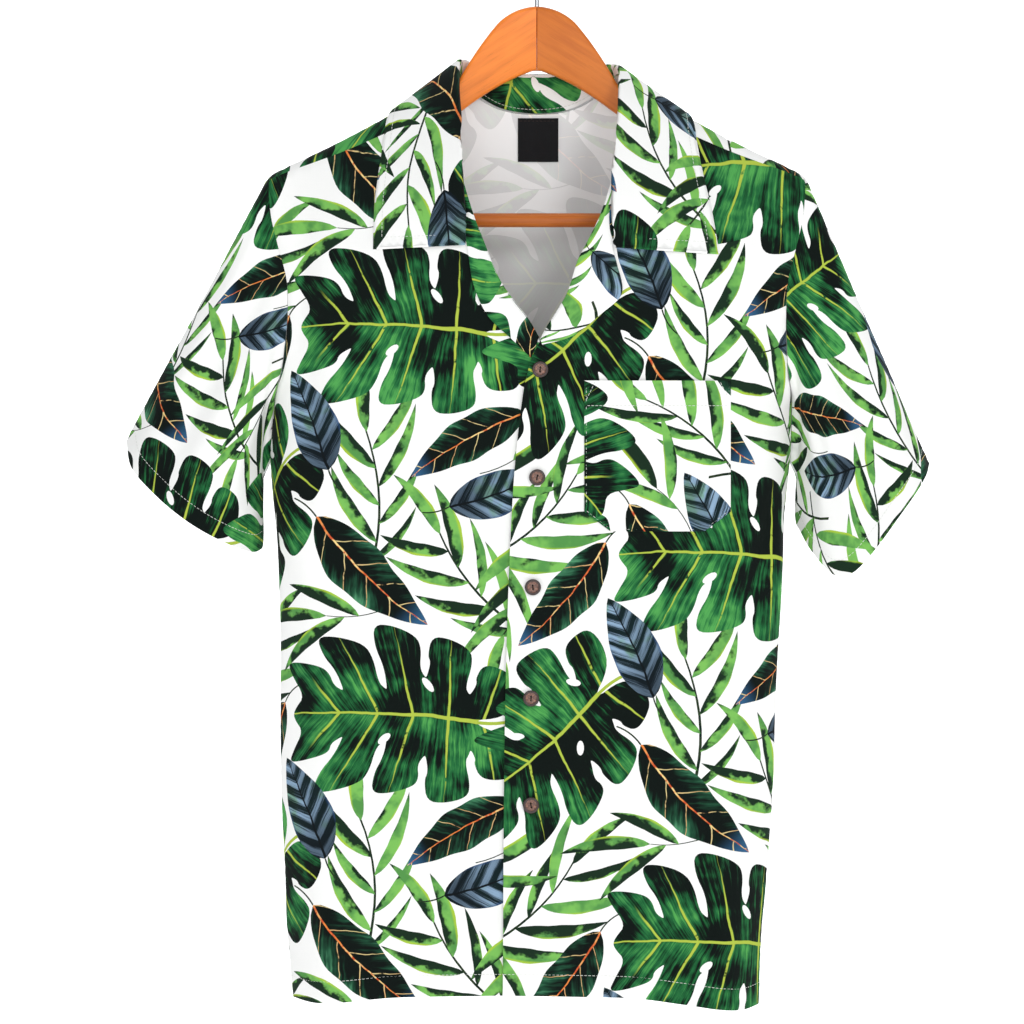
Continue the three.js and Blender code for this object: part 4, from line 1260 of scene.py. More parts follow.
def rim_parts(flat, triangles, leaf, seed, outer, inner, normal):
    """Faces that close the edge between both layers, on points of their own."""
    count = len(flat)
    edges, alone = open_edges(triangles, count)
    number = len(triangles)
    owner = np.tile(np.arange(number), 3)
    corner = np.repeat((0, 1, 2), number)
    starts, ends = edges[alone, 0], edges[alone, 1]
    points, back = np.unique(np.concatenate((starts, ends)), return_inverse=True)
    a, b = back[: len(alone)], back[len(alone):]
    size = len(points)
    along = np.zeros((size, 3))
    np.add.at(along, a, outer[ends] - outer[starts])
    np.add.at(along, b, outer[ends] - outer[starts])
    out = unit(np.cross(along, normal[points]))
    faces = np.vstack((np.stack((a, a + size, b), axis=-1), np.stack((b, a + size, b + size), axis=-1)))
    near = corner[alone]
    leaf_a, leaf_b = leaf[owner[alone], near], leaf[owner[alone], (near + 1) % 3]
    leaves = np.vstack((
        np.stack((leaf_a, leaf_a, leaf_b), axis=1).reshape(-1, 3),
        np.stack((leaf_b, leaf_a, leaf_b), axis=1).reshape(-1, 3),
    ))
    seeds = np.tile(np.repeat(seed[owner[alone], 0], 3), 2)
    both = np.vstack((outer[points], inner[points]))
    return faces, leaves, seeds, both, np.vstack((out, out)), np.vstack((flat[points], flat[points]))


def new_mesh(name, points, faces, normals=None):
    mesh = bpy.data.meshes.new(name)
    points = np.asarray(points, np.float32)
    faces = np.asarray(faces, np.int32)
    sides = faces.shape[1]
    mesh.vertices.add(len(points))
    mesh.vertices.foreach_set("co", points.ravel())
    mesh.loops.add(faces.size)
    mesh.loops.foreach_set("vertex_index", faces.ravel())
    mesh.polygons.add(len(faces))
    mesh.polygons.foreach_set("loop_start", np.arange(0, faces.size, sides, dtype=np.int32))
    mesh.polygons.foreach_set("use_smooth", np.ones(len(faces), bool))
    mesh.update(calc_edges=True)
    if normals is not None:
        mesh.normals_split_custom_set_from_vertices(normals.astype(np.float32))
    return mesh


def ring_faces(rings, sides):
    """Triangles between rings of points that follow each other."""
    faces = []
    for start in range(0, (rings - 1) * sides, sides):
        for k in range(sides):
            a, b = start + k, start + (k + 1) % sides
            faces += [(a, b, b + sides), (a, b + sides, a + sides)]
    return faces


def mesh_values(mesh, name, domain, values):
    """Stores a vector for each point or corner of a mesh."""
    layer = mesh.attributes.new(name, "FLOAT_VECTOR", domain)
    layer.data.foreach_set("vector", np.ascontiguousarray(values, np.float32).ravel())


def add_piece(name, mesh, material, nodes=()):
    """Puts a mesh in the scene as a piece of the shirt or hanger."""
    piece = bpy.data.objects.new(name, mesh)
    bpy.context.scene.collection.objects.link(piece)
    mesh.materials.append(material)
    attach(piece, ROOT)
    if nodes:
        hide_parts(*nodes)
    return piece


# Topstitching: short raised threads along a line on the cloth

STITCH_LENGTH = 2.5
STITCH_STEP = 3.3
STITCH_RADIUS = 0.24
# Sections of one stitch: share of its length, width, rise
STITCH_STATIONS = ((-0.5, 0.15, 0.25), (-0.32, 1.0, 0.9), (0.32, 1.0, 0.9), (0.5, 0.15, 0.25))


def stitch_parts(points, normals):
    """Points and faces of the stitches along one line of surface points."""
    run = run_of(points)
    count = int(run[-1] / STITCH_STEP)
    middles = (np.arange(count) + 0.5) * STITCH_STEP
    rings = []
    for share, wide, rise in STITCH_STATIONS:
        at = middles + share * STITCH_LENGTH
        up = unit(points_at(normals, run, at))
        ahead = points_at(points, run, at + 0.5) - points_at(points, run, at - 0.5)
        side = unit(np.cross(ahead, up))
        middle = points_at(points, run, at) + up * STITCH_RADIUS * rise * 0.6
        radius = STITCH_RADIUS * wide
        rings.append(np.stack((middle + side * radius, middle + up * radius,
                               middle - side * radius, middle - up * radius), axis=1))
    body = np.stack(rings, axis=1).reshape(-1, 3)
    faces = np.array(ring_faces(len(STITCH_STATIONS), 4))
    offsets = np.arange(count)[:, None, None] * 4 * len(STITCH_STATIONS)
    return body, (faces[None] + offsets).reshape(-1, 3)


def stitch_mesh(name, lines):
    """One mesh of all the stitches along several lines of points and normals."""
    points, faces, start = [], [], 0
    for line, normals in lines:
        part, triangles = stitch_parts(line, normals)
        points.append(part)
        faces.append(triangles + start)
        start += len(part)
    return new_mesh(name, np.vstack(points) * METRE, np.vstack(faces))


def line_on(surface, flat, thick):
    """A line of flat places as points just on the cloth, with normals."""
    middle, normal = surface(even(flat, 1.5))
    return middle + normal * thick / 2, normal


def lines_on(surface, corners, thick):
    """A line of its own for each stretch between corners."""
    return [line_on(surface, corners[k: k + 2], thick) for k in range(len(corners) - 1)]


# Materials


def node_group(name, inputs, outputs):
    """An empty shader group with its sockets, and its two end nodes."""
    group = bpy.data.node_groups.new(name, "ShaderNodeTree")
    for label, kind, value in inputs:
        socket = group.interface.new_socket(label, in_out="INPUT", socket_type=kind)
        socket.default_value = value
    for label, kind in outputs:
        group.interface.new_socket(label, in_out="OUTPUT", socket_type=kind)
    start = group.nodes.new("NodeGroupInput")
    end = group.nodes.new("NodeGroupOutput")
    return group, start, end


class Wiring:
    """Short ways to add shader nodes to one tree."""

    def __init__(self, tree):
        self.tree = tree

    def put(self, socket, value):
        if isinstance(value, bpy.types.NodeSocket):
            self.tree.links.new(value, socket)
        elif value is not None:
            socket.default_value = value

    def add(self, kind, **values):
        node = self.tree.nodes.new(kind)
        for key, value in values.items():
            setattr(node, key, value)
        return node

    def math(self, operation, a, b=None, c=None, clamp=False):
        node = self.add("ShaderNodeMath", operation=operation, use_clamp=clamp)
        for socket, value in zip(node.inputs, (a, b, c)):
            self.put(socket, value)
        return node.outputs[0]

    def plus(self, a, b):
        return self.math("ADD", a, b)

    def minus(self, a, b):
        return self.math("SUBTRACT", a, b)

    def times(self, a, b):
        return self.math("MULTIPLY", a, b)

    def step(self, value, low, high):
        node = self.add("ShaderNodeMapRange", interpolation_type="SMOOTHSTEP")
        self.put(node.inputs["Value"], value)
        self.put(node.inputs["From Min"], low)
        self.put(node.inputs["From Max"], high)
        return node.outputs["Result"]

    def mix(self, share, a, b):
        node = self.add("ShaderNodeMix", data_type="RGBA")
        self.put(node.inputs[0], share)
        self.put(node.inputs[6], a)
        self.put(node.inputs[7], b)
        return node.outputs[2]

    def vector(self, x, y, z=0.0):
        node = self.add("ShaderNodeCombineXYZ")
        for socket, value in zip(node.inputs, (x, y, z)):
            self.put(socket, value)
        return node.outputs[0]

    def split(self, vector):
        node = self.add("ShaderNodeSeparateXYZ")
        self.put(node.inputs[0], vector)
        return node.outputs[0], node.outputs[1], node.outputs[2]

    def noise(self, vector, scale, detail=3.0, rough=0.55):
        node = self.add("ShaderNodeTexNoise")
        self.put(node.inputs["Vector"], vector)
        self.put(node.inputs["Scale"], scale)
        self.put(node.inputs["Detail"], detail)
        self.put(node.inputs["Roughness"], rough)
        return node.outputs[0]

    def line(self, distance, width):
        """A sharp line of the given half width, by the distance from its middle."""
        return self.step(self.minus(distance, width), 0.002, -0.002)

    def position(self):
        return self.add("ShaderNodeNewGeometry").outputs["Position"]

    def attribute(self, name):
        node = self.add("ShaderNodeAttribute", attribute_name=name)
        return node.outputs["Vector"]


def colour(text):
    """A colour in linear light from a hex value."""
    parts = [int(text[k: k + 2], 16) / 255 for k in (1, 3, 5)]
    return tuple(((p + 0.055) / 1.055) ** 2.4 if p > 0.04045 else p / 12.92 for p in parts) + (1.0,)


def leaf_paint_group():
    """Watercolour of all the leaves by their own places, kinds and seeds."""
    group, start, end = node_group(
        "leaf_paint",
        (
            ("Ground", "NodeSocketColor", colour("#f7f6ef")),
            ("Deep", "NodeSocketColor", colour("#08110e")),
            ("Bright", "NodeSocketColor", colour("#2f9a3a")),
            ("Vein", "NodeSocketColor", colour("#a9bb46")),
            ("Stripe", "NodeSocketColor", colour("#8fabc6")),
            ("Warm", "NodeSocketColor", colour("#e0813f")),
        ),
        (("Color", "NodeSocketColor"),),
    )
    w = Wiring(group)
    u, v, kind = w.split(w.attribute("leaf"))
    seed, _, _ = w.split(w.attribute("tone"))
    out = w.math("ABSOLUTE", u)
    ground = start.outputs["Ground"]
    deep, bright = start.outputs["Deep"], start.outputs["Bright"]
    vein, stripe, warm = start.outputs["Vein"], start.outputs["Stripe"], start.outputs["Warm"]
    place = w.vector(u, v, seed)
    cloudy = w.noise(place, 3.2, 3.0, 0.6)
    fine = w.noise(place, 22.0, 3.0, 0.6)
    wobble = w.times(w.minus(w.noise(place, 6.0, 2.0), 0.5), 0.03)

    # Large slit leaf: veins fan out from the midrib
    phase = w.math("DIVIDE", w.plus(w.plus(v, w.times(out, 0.16)), wobble), w.plus(w.times(out, 1.30), 1.0))
    count = w.math("DIVIDE", w.minus(phase, LOBE_START), LOBE_STEP)
    nearest = w.minus(w.math("FRACT", w.plus(count, 0.5)), 0.5)
    vein_gap = w.times(w.math("ABSOLUTE", nearest), LOBE_STEP)
    vein_width = w.math("MAXIMUM", w.minus(0.0085, w.times(out, 0.020)), 0.0)
    fan = w.line(vein_gap, vein_width)
    fan = w.times(fan, w.step(fine, 0.30, 0.42))
    fan = w.times(fan, w.step(v, 0.90, 0.80))
    from_middle = w.math("ABSOLUTE", w.plus(u, wobble))
    rib = w.line(from_middle, w.minus(0.0115, w.times(v, 0.008)))
    all_veins = w.math("MAXIMUM", fan, rib)
    strokes = w.noise(w.vector(w.times(phase, 52.0), w.times(out, 2.6), seed), 1.0, 5.0, 0.72)
    wash = w.plus(cloudy, w.times(w.minus(strokes, 0.5), 0.75))
    half_tone = w.times(w.step(u, 0.02, -0.02), 0.10)
    light = w.step(w.plus(wash, half_tone), 0.49, 0.66)
    lighter = w.step(w.plus(wash, half_tone), 0.62, 0.80)
    big = w.mix(light, deep, colour("#1f6437"))
    big = w.mix(lighter, big, bright)
    edge_glow = w.times(w.step(w.plus(out, w.times(v, 0.25)), 0.34, 0.56), w.step(strokes, 0.5, 0.8))
    big = w.mix(w.times(edge_glow, 0.8), big, colour("#2f6b45"))
    big = w.mix(all_veins, big, vein)

    # Striped leaf: slanting bands of pale blue
    slant = w.minus(w.plus(v, wobble), w.times(out, 0.95))
    waves = w.math("SINE", w.times(slant, 38.0))
    patches = w.noise(w.vector(w.times(slant, 22.0), w.times(out, 1.5), seed), 1.4, 2.0)
    hairs = w.noise(w.vector(w.times(slant, 110.0), w.times(out, 3.0), seed), 1.4, 4.0, 0.7)
    waves = w.plus(waves, w.times(w.minus(patches, 0.5), 5.0))
    waves = w.plus(waves, w.times(w.minus(hairs, 0.5), 4.5))
    bands = w.times(w.step(waves, -0.6, 1.2), w.plus(1.0, w.times(w.step(u, -0.01, 0.01), -0.35)))
    striped = w.mix(w.times(bands, 0.9), colour("#0e1f22"), stripe)
    greens = w.times(w.step(cloudy, 0.48, 0.62), 0.75)
    striped = w.mix(greens, striped, w.mix(bands, colour("#12241c"), colour("#6f9d7a")))
    striped = w.mix(w.step(v, 0.50, 0.12), striped, w.mix(w.times(bands, 0.30), colour("#0c161c"), stripe))
    rim_line = w.step(out, 0.18, 0.22)
    striped = w.mix(w.times(rim_line, 0.7), striped, colour("#33507c"))
    dark_rib = w.line(from_middle, w.minus(0.012, w.times(v, 0.008)))
    striped = w.mix(dark_rib, striped, colour("#0b1216"))

    # Dark leaf with warm veins and a teal border
    curve = w.minus(w.plus(v, w.times(wobble, 2.2)), w.times(out, 0.95))
    side_count = w.times(curve, 5.2)
    side_count = w.plus(side_count, w.times(w.step(u, -0.001, 0.001), 0.45))
    side_near = w.minus(w.math("FRACT", w.plus(side_count, 0.5)), 0.5)
    side_gap = w.math("DIVIDE", w.math("ABSOLUTE", side_near), 5.2)
    side_width = w.math("MAXIMUM", w.minus(0.0046, w.times(out, 0.014)), 0.0008)
    side_veins = w.times(w.line(side_gap, side_width), w.step(fine, 0.30, 0.50))
    main_rib = w.line(from_middle, w.minus(0.0068, w.times(v, 0.005)))
    brush = w.noise(w.vector(w.times(curve, 26.0), w.times(out, 4.0), seed), 1.0, 3.0, 0.6)
    border = w.plus(w.times(out, 2.6), w.times(w.minus(brush, 0.5), 1.1))
    border = w.plus(border, w.times(w.minus(cloudy, 0.5), 1.3))
    dark = w.mix(w.step(border, 0.12, 0.52), deep, colour("#1d4a34"))
    dark = w.mix(w.step(border, 0.38, 0.78), dark, colour("#4f9068"))
    dark = w.mix(w.times(w.step(v, 0.78, 1.0), 0.7), dark, colour("#3c6f9a"))
    vein_tone = w.mix(w.step(cloudy, 0.42, 0.56), colour("#efd08a"), warm)
    dark = w.mix(w.times(side_veins, 0.85), dark, w.mix(0.5, vein_tone, colour("#e6d9a0")))
    dark = w.mix(main_rib, dark, w.mix(w.step(fine, 0.45, 0.6), vein_tone, colour("#c4522e")))

    # Slim leaves: green with one dark side and yellow edges
    blots = w.noise(w.vector(w.times(u, 3.0), w.times(v, 2.2), seed), 2.2)
    shaded = w.plus(w.times(u, 9.0), w.times(w.minus(blots, 0.5), 3.4))
    own_tone = w.noise(w.vector(w.times(seed, 7.0), 0.5), 1.0, 0.0)
    shaded = w.plus(shaded, w.times(w.minus(own_tone, 0.45), 2.6))
    slim = w.mix(w.step(cloudy, 0.40, 0.62), colour("#76b557"), colour("#518d48"))
    slim = w.mix(w.step(shaded, 0.10, 0.60), slim, colour("#172c1d"))
    slim = w.mix(w.times(w.step(u, -0.045, -0.075), 0.85), slim, colour("#a8c33a"))
    slim = w.mix(w.step(v, 0.86, 1.0), slim, colour("#152a1c"))

    stalk = w.mix(w.step(fine, 0.4, 0.6), colour("#14241b"), colour("#2b3a24"))
    green_stalk = w.mix(0.15, vein, colour("#5f8a34"))
    paints = (big, striped, dark, slim, stalk, green_stalk)
    painted = ground
    for number, paint in zip((MONSTERA, STRIPED, VEINED, SLIM, STALK, GREEN_STALK), paints):
        chosen = w.math("COMPARE", kind, float(number), 0.4)
        painted = w.mix(chosen, painted, paint)
    w.put(end.inputs["Color"], painted)
    return group


def weave_group():
    """Plain weave: crossing threads and slubs, by the flat places of the cut cloth."""
    group, start, end = node_group(
        "plain_weave",
        (("Thread", "NodeSocketFloat", 0.55), ("Depth", "NodeSocketFloat", 0.5)),
        (("Height", "NodeSocketFloat"), ("Shade", "NodeSocketFloat")),
    )
    w = Wiring(group)
    x, y, _ = w.split(w.attribute("cut"))
    turn = w.math("DIVIDE", math.pi, start.outputs["Thread"])
    across = w.math("SINE", w.times(x, turn))
    down = w.math("SINE", w.times(y, turn))
    over = w.times(across, down)
    slub_x = w.noise(w.vector(w.times(x, 0.05), w.times(y, 1.4)), 1.0, 2.0)
    slub_y = w.noise(w.vector(w.times(x, 1.4), w.times(y, 0.05)), 1.0, 2.0)
    slubs = w.times(w.plus(slub_x, slub_y), 0.6)
    w.put(end.inputs["Height"], w.times(w.plus(w.times(over, 0.35), slubs), start.outputs["Depth"]))
    w.put(end.inputs["Shade"], w.plus(w.times(over, 0.5), w.times(w.minus(slubs, 0.6), 1.2)))
    return group


def grain_group():
    """Wood grain that runs along the hanger's arms."""
    group, start, end = node_group(
        "wood_grain",
        (
            ("Light", "NodeSocketColor", colour("#e88a45")),
            ("Dark", "NodeSocketColor", colour("#b65a22")),
            ("Scale", "NodeSocketFloat", 1.0),
        ),
        (("Color", "NodeSocketColor"), ("Height", "NodeSocketFloat"), ("Gloss", "NodeSocketFloat")),
    )
    w = Wiring(group)
    x, y, z = w.split(w.attribute("grain"))
    scale = start.outputs["Scale"]
    place = w.vector(w.times(x, w.times(scale, 0.006)), w.times(y, w.times(scale, 0.10)), w.times(z, 0.1))
    lines = w.noise(place, 1.6, 4.0, 0.6)
    pores = w.noise(w.vector(w.times(x, w.times(scale, 0.03)), w.times(y, w.times(scale, 1.1)), z), 1.6, 3.0)
    cloud = w.noise(w.vector(w.times(x, 0.02), w.times(y, 0.03), z), 1.0, 2.0)
    tone = w.step(w.plus(w.times(lines, 0.7), w.times(cloud, 0.45)), 0.42, 0.78)
    base = w.mix(tone, start.outputs["Light"], start.outputs["Dark"])
    spots = w.times(w.step(pores, 0.60, 0.72), 0.28)
    w.put(end.inputs["Color"], w.mix(spots, base, colour("#7c3b16")))
    w.put(end.inputs["Height"], w.plus(w.times(lines, 0.4), w.times(pores, 0.2)))
    w.put(end.inputs["Gloss"], w.plus(0.30, w.times(pores, 0.22)))
    return group


def shared_group(name, maker):
    return bpy.data.node_groups.get(name) or maker()


def new_material(name, values):
    """A material with only its surface shader, and the wiring to fill it."""
    material = bpy.data.materials.new(name)
    material.use_nodes = True
    tree = material.node_tree
    tree.nodes.clear()
    wiring = Wiring(tree)
    shader = wiring.add("ShaderNodeBsdfPrincipled")
    for key, value in values.items():
        shader.inputs[key].default_value = value
    output = wiring.add("ShaderNodeOutputMaterial")
    tree.links.new(shader.outputs[0], output.inputs["Surface"])
    return material, wiring, shader


def add_bump(wiring, shader, height, strength, distance):
    bump = wiring.add("ShaderNodeBump")
    bump.inputs["Strength"].default_value = strength
    bump.inputs["Distance"].default_value = distance
    wiring.put(bump.inputs["Height"], height)
    wiring.put(shader.inputs["Normal"], bump.outputs[0])


def group_node(wiring, group, **values):
    node = wiring.add("ShaderNodeGroup", node_tree=group)
    for key, value in values.items():
        wiring.put(node.inputs[key], value)
    return node


def printed_cloth():
    """Leaf print on white cloth. On the wrong side the print fades and the cloth turns lighter than its
    ground colour, which is painted light for the shaded inside of the shirt.
    """
    found = bpy.data.materials.get("leaf_print")
    if found:
        return found
    settings = bpy.context.scene.shirt_settings
    material, w, shader = new_material("leaf_print", {
        "Roughness": 0.85, "Specular IOR Level": 0.10, "Sheen Weight": 0.03, "Sheen Roughness": 0.5,
    })
    paint = group_node(
        w, shared_group("leaf_paint", leaf_paint_group),
        Ground=tuple(settings.ground_colour) + (1.0,),
        Bright=tuple(settings.leaf_colour) + (1.0,),
    )
    weave = group_node(w, shared_group("plain_weave", weave_group), Thread=0.5, Depth=0.5)
    _, inside, _ = w.split(w.attribute("tone"))
    shade = w.math("MULTIPLY_ADD", weave.outputs["Shade"], 0.035, 0.985)
    tint = w.add("ShaderNodeMix", data_type="RGBA", blend_type="MULTIPLY")
    tint.inputs[0].default_value = 1.0
    w.put(tint.inputs[6], paint.outputs["Color"])
    w.put(tint.inputs[7], w.vector(shade, shade, shade))
    # Wrong side: the print really fades here, and the mix towards pure white, lighter than the ground
    # colour, is painted light inside the shirt
    faded_and_lit = w.mix(settings.wash, paint.outputs["Color"], colour("#ffffff"))
    w.put(shader.inputs["Base Color"], w.mix(inside, tint.outputs[2], faded_and_lit))
    add_bump(w, shader, weave.outputs["Height"], 0.35, 0.0002)
    return material


def thread_material():
    found = bpy.data.materials.get("sewing_thread")
    if found:
        return found
    material, w, shader = new_material("sewing_thread", {"Roughness": 0.7})
    place = w.position()
    twist = w.noise(place, 1800.0, 2.0)
    w.put(shader.inputs["Base Color"], w.mix(twist, colour("#e9eae4"), colour("#c9ccc6")))
    add_bump(w, shader, twist, 0.4, 0.0001)
    return material


def label_material():
    material, w, shader = new_material("black_label", {"Roughness": 0.7, "Specular IOR Level": 0.2})
    weave = group_node(w, shared_group("plain_weave", weave_group), Thread=0.42, Depth=1.0)
    share = w.math("MULTIPLY_ADD", weave.outputs["Shade"], 0.5, 0.4, clamp=True)
    w.put(shader.inputs["Base Color"], w.mix(share, colour("#08080a"), colour("#161619")))
    add_bump(w, shader, weave.outputs["Height"], 0.5, 0.0002)
    return material


def button_material():
    """Mottled brown shell, darker to its rim."""
    material, w, shader = new_material("brown_shell", {"Coat Weight": 0.25, "Coat Roughness": 0.2})
    place = w.attribute("cut")
    x, y, _ = w.split(place)
    away = w.math("SQRT", w.plus(w.times(x, x), w.times(y, y)))
    mottle = w.noise(place, 0.55, 5.0, 0.7)
    fibres = w.noise(w.vector(w.times(x, 0.7), w.times(y, 3.5), 2.0), 1.0, 3.0)
    tone = w.plus(w.times(mottle, 0.7), w.times(fibres, 0.3))
    base = w.mix(w.step(tone, 0.38, 0.62), colour("#43221a"), colour("#9a6b55"))
    base = w.mix(w.step(away, 4.0, 5.0), base, colour("#2a130e"))
    w.put(shader.inputs["Base Color"], base)
    w.put(shader.inputs["Roughness"], w.plus(0.28, w.times(mottle, 0.25)))
    add_bump(w, shader, tone, 0.3, 0.0003)
    return material


def dark_thread_material():
    material, w, shader = new_material("brown_thread", {"Roughness": 0.75})
    place = w.position()
    twist = w.noise(place, 2500.0, 2.0)
    w.put(shader.inputs["Base Color"], w.mix(twist, colour("#1c0f0b"), colour("#3c231a")))
    return material


def wood_material(name, light, dark, scale):
    material, w, shader = new_material(name, {
        "Specular IOR Level": 0.3, "Coat Weight": 0.08, "Coat Roughness": 0.3,
    })
    grain = group_node(w, shared_group("wood_grain", grain_group), Light=light, Dark=dark, Scale=scale)
    w.put(shader.inputs["Base Color"], grain.outputs["Color"])
    w.put(shader.inputs["Roughness"], grain.outputs["Gloss"])
    add_bump(w, shader, grain.outputs["Height"], 0.15, 0.0004)
    return material


def wire_material():
    material, w, shader = new_material("steel_wire", {"Metallic": 1.0})
    place = w.position()
    smudge = w.noise(place, 60.0, 3.0)
    lines = w.noise(place, 900.0, 2.0)
    w.put(shader.inputs["Base Color"], w.mix(smudge, colour("#c9cbce"), colour("#a6a9ad")))
    w.put(shader.inputs["Roughness"], w.plus(0.18, w.times(smudge, 0.2)))
    add_bump(w, shader, lines, 0.1, 0.0001)
    return material


def backdrop_material():
    return new_material("pale_backdrop", {
        "Base Color": colour("#f4f4f4"), "Roughness": 0.9,
        "Emission Color": colour("#ffffff"), "Emission Strength": 0.72,
    })[0]


# Wood and wire


def bezier(a, b, c, count):
    t = np.linspace(0, 1, count)[:, None]
    return np.array(a) * (1 - t) ** 2 + 2 * np.array(b) * t * (1 - t) + np.array(c) * t**2


MITRE_X = 0.03
MITRE_GROOVE = 0.14
BOARD_THICK = 12.0
BOARD_ROUND = 3.2
GRAIN_TILT = -33
# Arms: name, side, scale of the grain, tone; the tone is painted light, lighter for the arm at negative x,
# which faces the key light, and darker for the other arm
ARMS = (("hanger_arm_right", -1, 1.0, 1.18), ("hanger_arm_left", 1, 1.15, 0.84))
# Bar: scale of the grain, tone; the tone is painted shade, darker for the bar that lies inside the shirt
BAR_WOOD = (1.6, 0.72)
BAR_REACH = 185.7
BAR_RADIUS = 5.8
BAR_Z = -240.0
WIRE_RADIUS = 1.9
HOOK_BEND = 21.9
HOOK_CENTRE = -20.0


# Both ends of the arm's top edge, and its places at the mitre
ARM_NECK = 66.0
ARM_TIP = 192.0
ARM_TOP = -62.0
ARM_BOTTOM = -115.0


def arm_outline():
    """Outline of one arm of the hanger, from the mitre outwards and back."""

    def under(x):
        dip = 8 * np.exp(-(((x - NECK_POINT + 5) / 20) ** 2))
        return ridge_z(x) - 0.6 - 1 - dip

    top = np.linspace(ARM_NECK, ARM_TIP, 50)
    parts = [
        np.array(((MITRE_X, ARM_TOP), (3, ARM_TOP))),
        bezier((3, ARM_TOP), (20, -64), (32, -76), 10),
        bezier((32, -76), (50, -97), (ARM_NECK, float(under(ARM_NECK))), 14),
        np.stack((top, under(top)), axis=-1),
        bezier((ARM_TIP, float(under(ARM_TIP))), (213, float(under(206.0))), (213, -216), 14),
        bezier((213, -216), (213, -252), (186, -254), 14),
        bezier((186, -254), (170, -254), (164, -236), 10),
        bezier((164, -236), (150, -210), (110, -183), 12),
        np.array(((110, -183), (61, -148))),
        bezier((61, -148), (30, -124), (3, ARM_BOTTOM), 12),
        np.array(((3, ARM_BOTTOM), (MITRE_X, ARM_BOTTOM))),
    ]
    return even(np.vstack([part[:-1] for part in parts[:-1]] + [parts[-1]]), 1.6)


def arm_mesh(name, hand):
    """A flat arm with rounded edges, cut straight at the mitre."""
    edge = arm_outline()
    before = np.roll(edge, 1, axis=0)
    after = np.roll(edge, -1, axis=0)
    before[0] = edge[0] - (1, 0)
    after[-1] = edge[-1] - (1, 0)
    run = after - before
    out = unit(np.stack((-run[:, 1], run[:, 0]), axis=-1))
    half = BOARD_THICK / 2
    turns = [QUARTER * k / 6 for k in range(7)]
    rings = [(BOARD_ROUND * (1 - math.sin(a)), BOARD_ROUND * (1 - math.cos(a))) for a in turns]
    levels = [(inset, -half + drop) for inset, drop in rings]
    levels += [(inset, half - drop) for inset, drop in reversed(rings)]
    points = []
    for inset, depth in levels:
        ring = edge - out * inset
        mitre = MITRE_X + inset * MITRE_GROOVE
        ring[:, 0] = np.maximum(ring[:, 0], mitre)
        ring[0, 0] = ring[-1, 0] = mitre
        points.append(np.column_stack((ring[:, 0], np.full(len(ring), depth), ring[:, 1])))
    count = len(edge)
    faces = ring_faces(len(levels), count)
    for k, flip in ((0, False), (len(levels) - 1, True)):
        ring = [Vector(point[[0, 2]]) for point in points[k]]
        made = delaunay_2d_cdt(ring, [], [list(range(count))[::-1]], 1, 1e-4, True)
        index = [sources[0] for sources in made[3]]
        for face, sources in zip(made[2], made[5]):
            if sources:
                triple = [k * count + index[i] for i in face]
                faces.append(tuple(triple[::-1]) if flip else tuple(triple))
    points = np.vstack(points)
    grain = points.copy()
    points[:, 1] = points[:, 1] - points[:, 0] * ARM_TANGENT
    points[:, 0] *= hand
    faces = np.array(faces)
    if hand < 0:
        faces = faces[:, ::-1]
    mesh = new_mesh(name, points * METRE, faces)
    face_out(mesh)
    tilt = math.radians(GRAIN_TILT)
    along = np.stack((grain[:, 0] * math.cos(tilt) + grain[:, 2] * math.sin(tilt),
                      -grain[:, 0] * math.sin(tilt) + grain[:, 2] * math.cos(tilt),
                      grain[:, 1] + 40 * hand), axis=-1)
    mesh_values(mesh, "grain", "POINT", along)
    mesh.set_sharp_from_angle(angle=math.radians(38))
    return mesh


def face_out(mesh):
    """Turns a closed mesh so that its faces look outwards."""
    work = bmesh.new()
    work.from_mesh(mesh)
    bmesh.ops.recalc_face_normals(work, faces=work.faces)
    work.to_mesh(mesh)
    work.free()


def tube_mesh(name, path, radii, sides, up=(0, 1, 0)):
    """A round bar along a path, closed at both ends."""
    path = np.asarray(path, float)
    count = len(path)
    ahead = unit(np.gradient(path, axis=0))
    first = unit(np.cross(ahead, np.asarray(up, float)))
    second = np.cross(ahead, first)
    turn = np.linspace(0, 2 * math.pi, sides, endpoint=False)
    radii = np.broadcast_to(np.asarray(radii, float), (count,))
    circle = first[:, None] * np.cos(turn)[None, :, None] + second[:, None] * np.sin(turn)[None, :, None]
    points = (path[:, None] + circle * radii[:, None, None]).reshape(-1, 3)
    faces = ring_faces(count, sides)
    points = np.vstack((points, path[:1], path[-1:]))
    last = (count - 1) * sides
    for j in range(sides):
        faces.append((j, count * sides, (j + 1) % sides))
        faces.append((last + j, last + (j + 1) % sides, count * sides + 1))
    mesh = new_mesh(name, points * METRE, np.array(faces))
    face_out(mesh)
    return mesh, points


BUTTON_RADIUS = 6.6
BUTTON_THICK = 2.6
HOLE_RADIUS = 0.9
HOLE_SPREAD = 1.7
# Radii of the circles of points between the button's middle and its rim
BUTTON_RINGS = (0.35, 3.2, 3.9, 4.3, 4.8, 5.2, 5.6, 5.9, 6.2, 6.42, 6.55)


def button_height(away):
    """Height of the button's face above its middle plane: round rim and shallow dish."""
    rim = BUTTON_RADIUS - 1.0
    edge = np.clip((away - rim) / 1.0, 0, 1)
    top = BUTTON_THICK / 2 - 0.7 * (1 - np.sqrt(np.clip(1 - edge**2, 0, 1)))
    return top - 0.65 * smooth((5.0 - away) / 1.0)


def on_button(points, x, y, z, turn):
    """Points around a button's middle, turned and moved to its place."""
    c, s = math.cos(turn), math.sin(turn)
    return np.stack((
        points[:, 0] * c - points[:, 2] * s + x,
        points[:, 1] + y - BUTTON_THICK / 2,
        points[:, 0] * s + points[:, 2] * c + z,
    ), axis=-1)


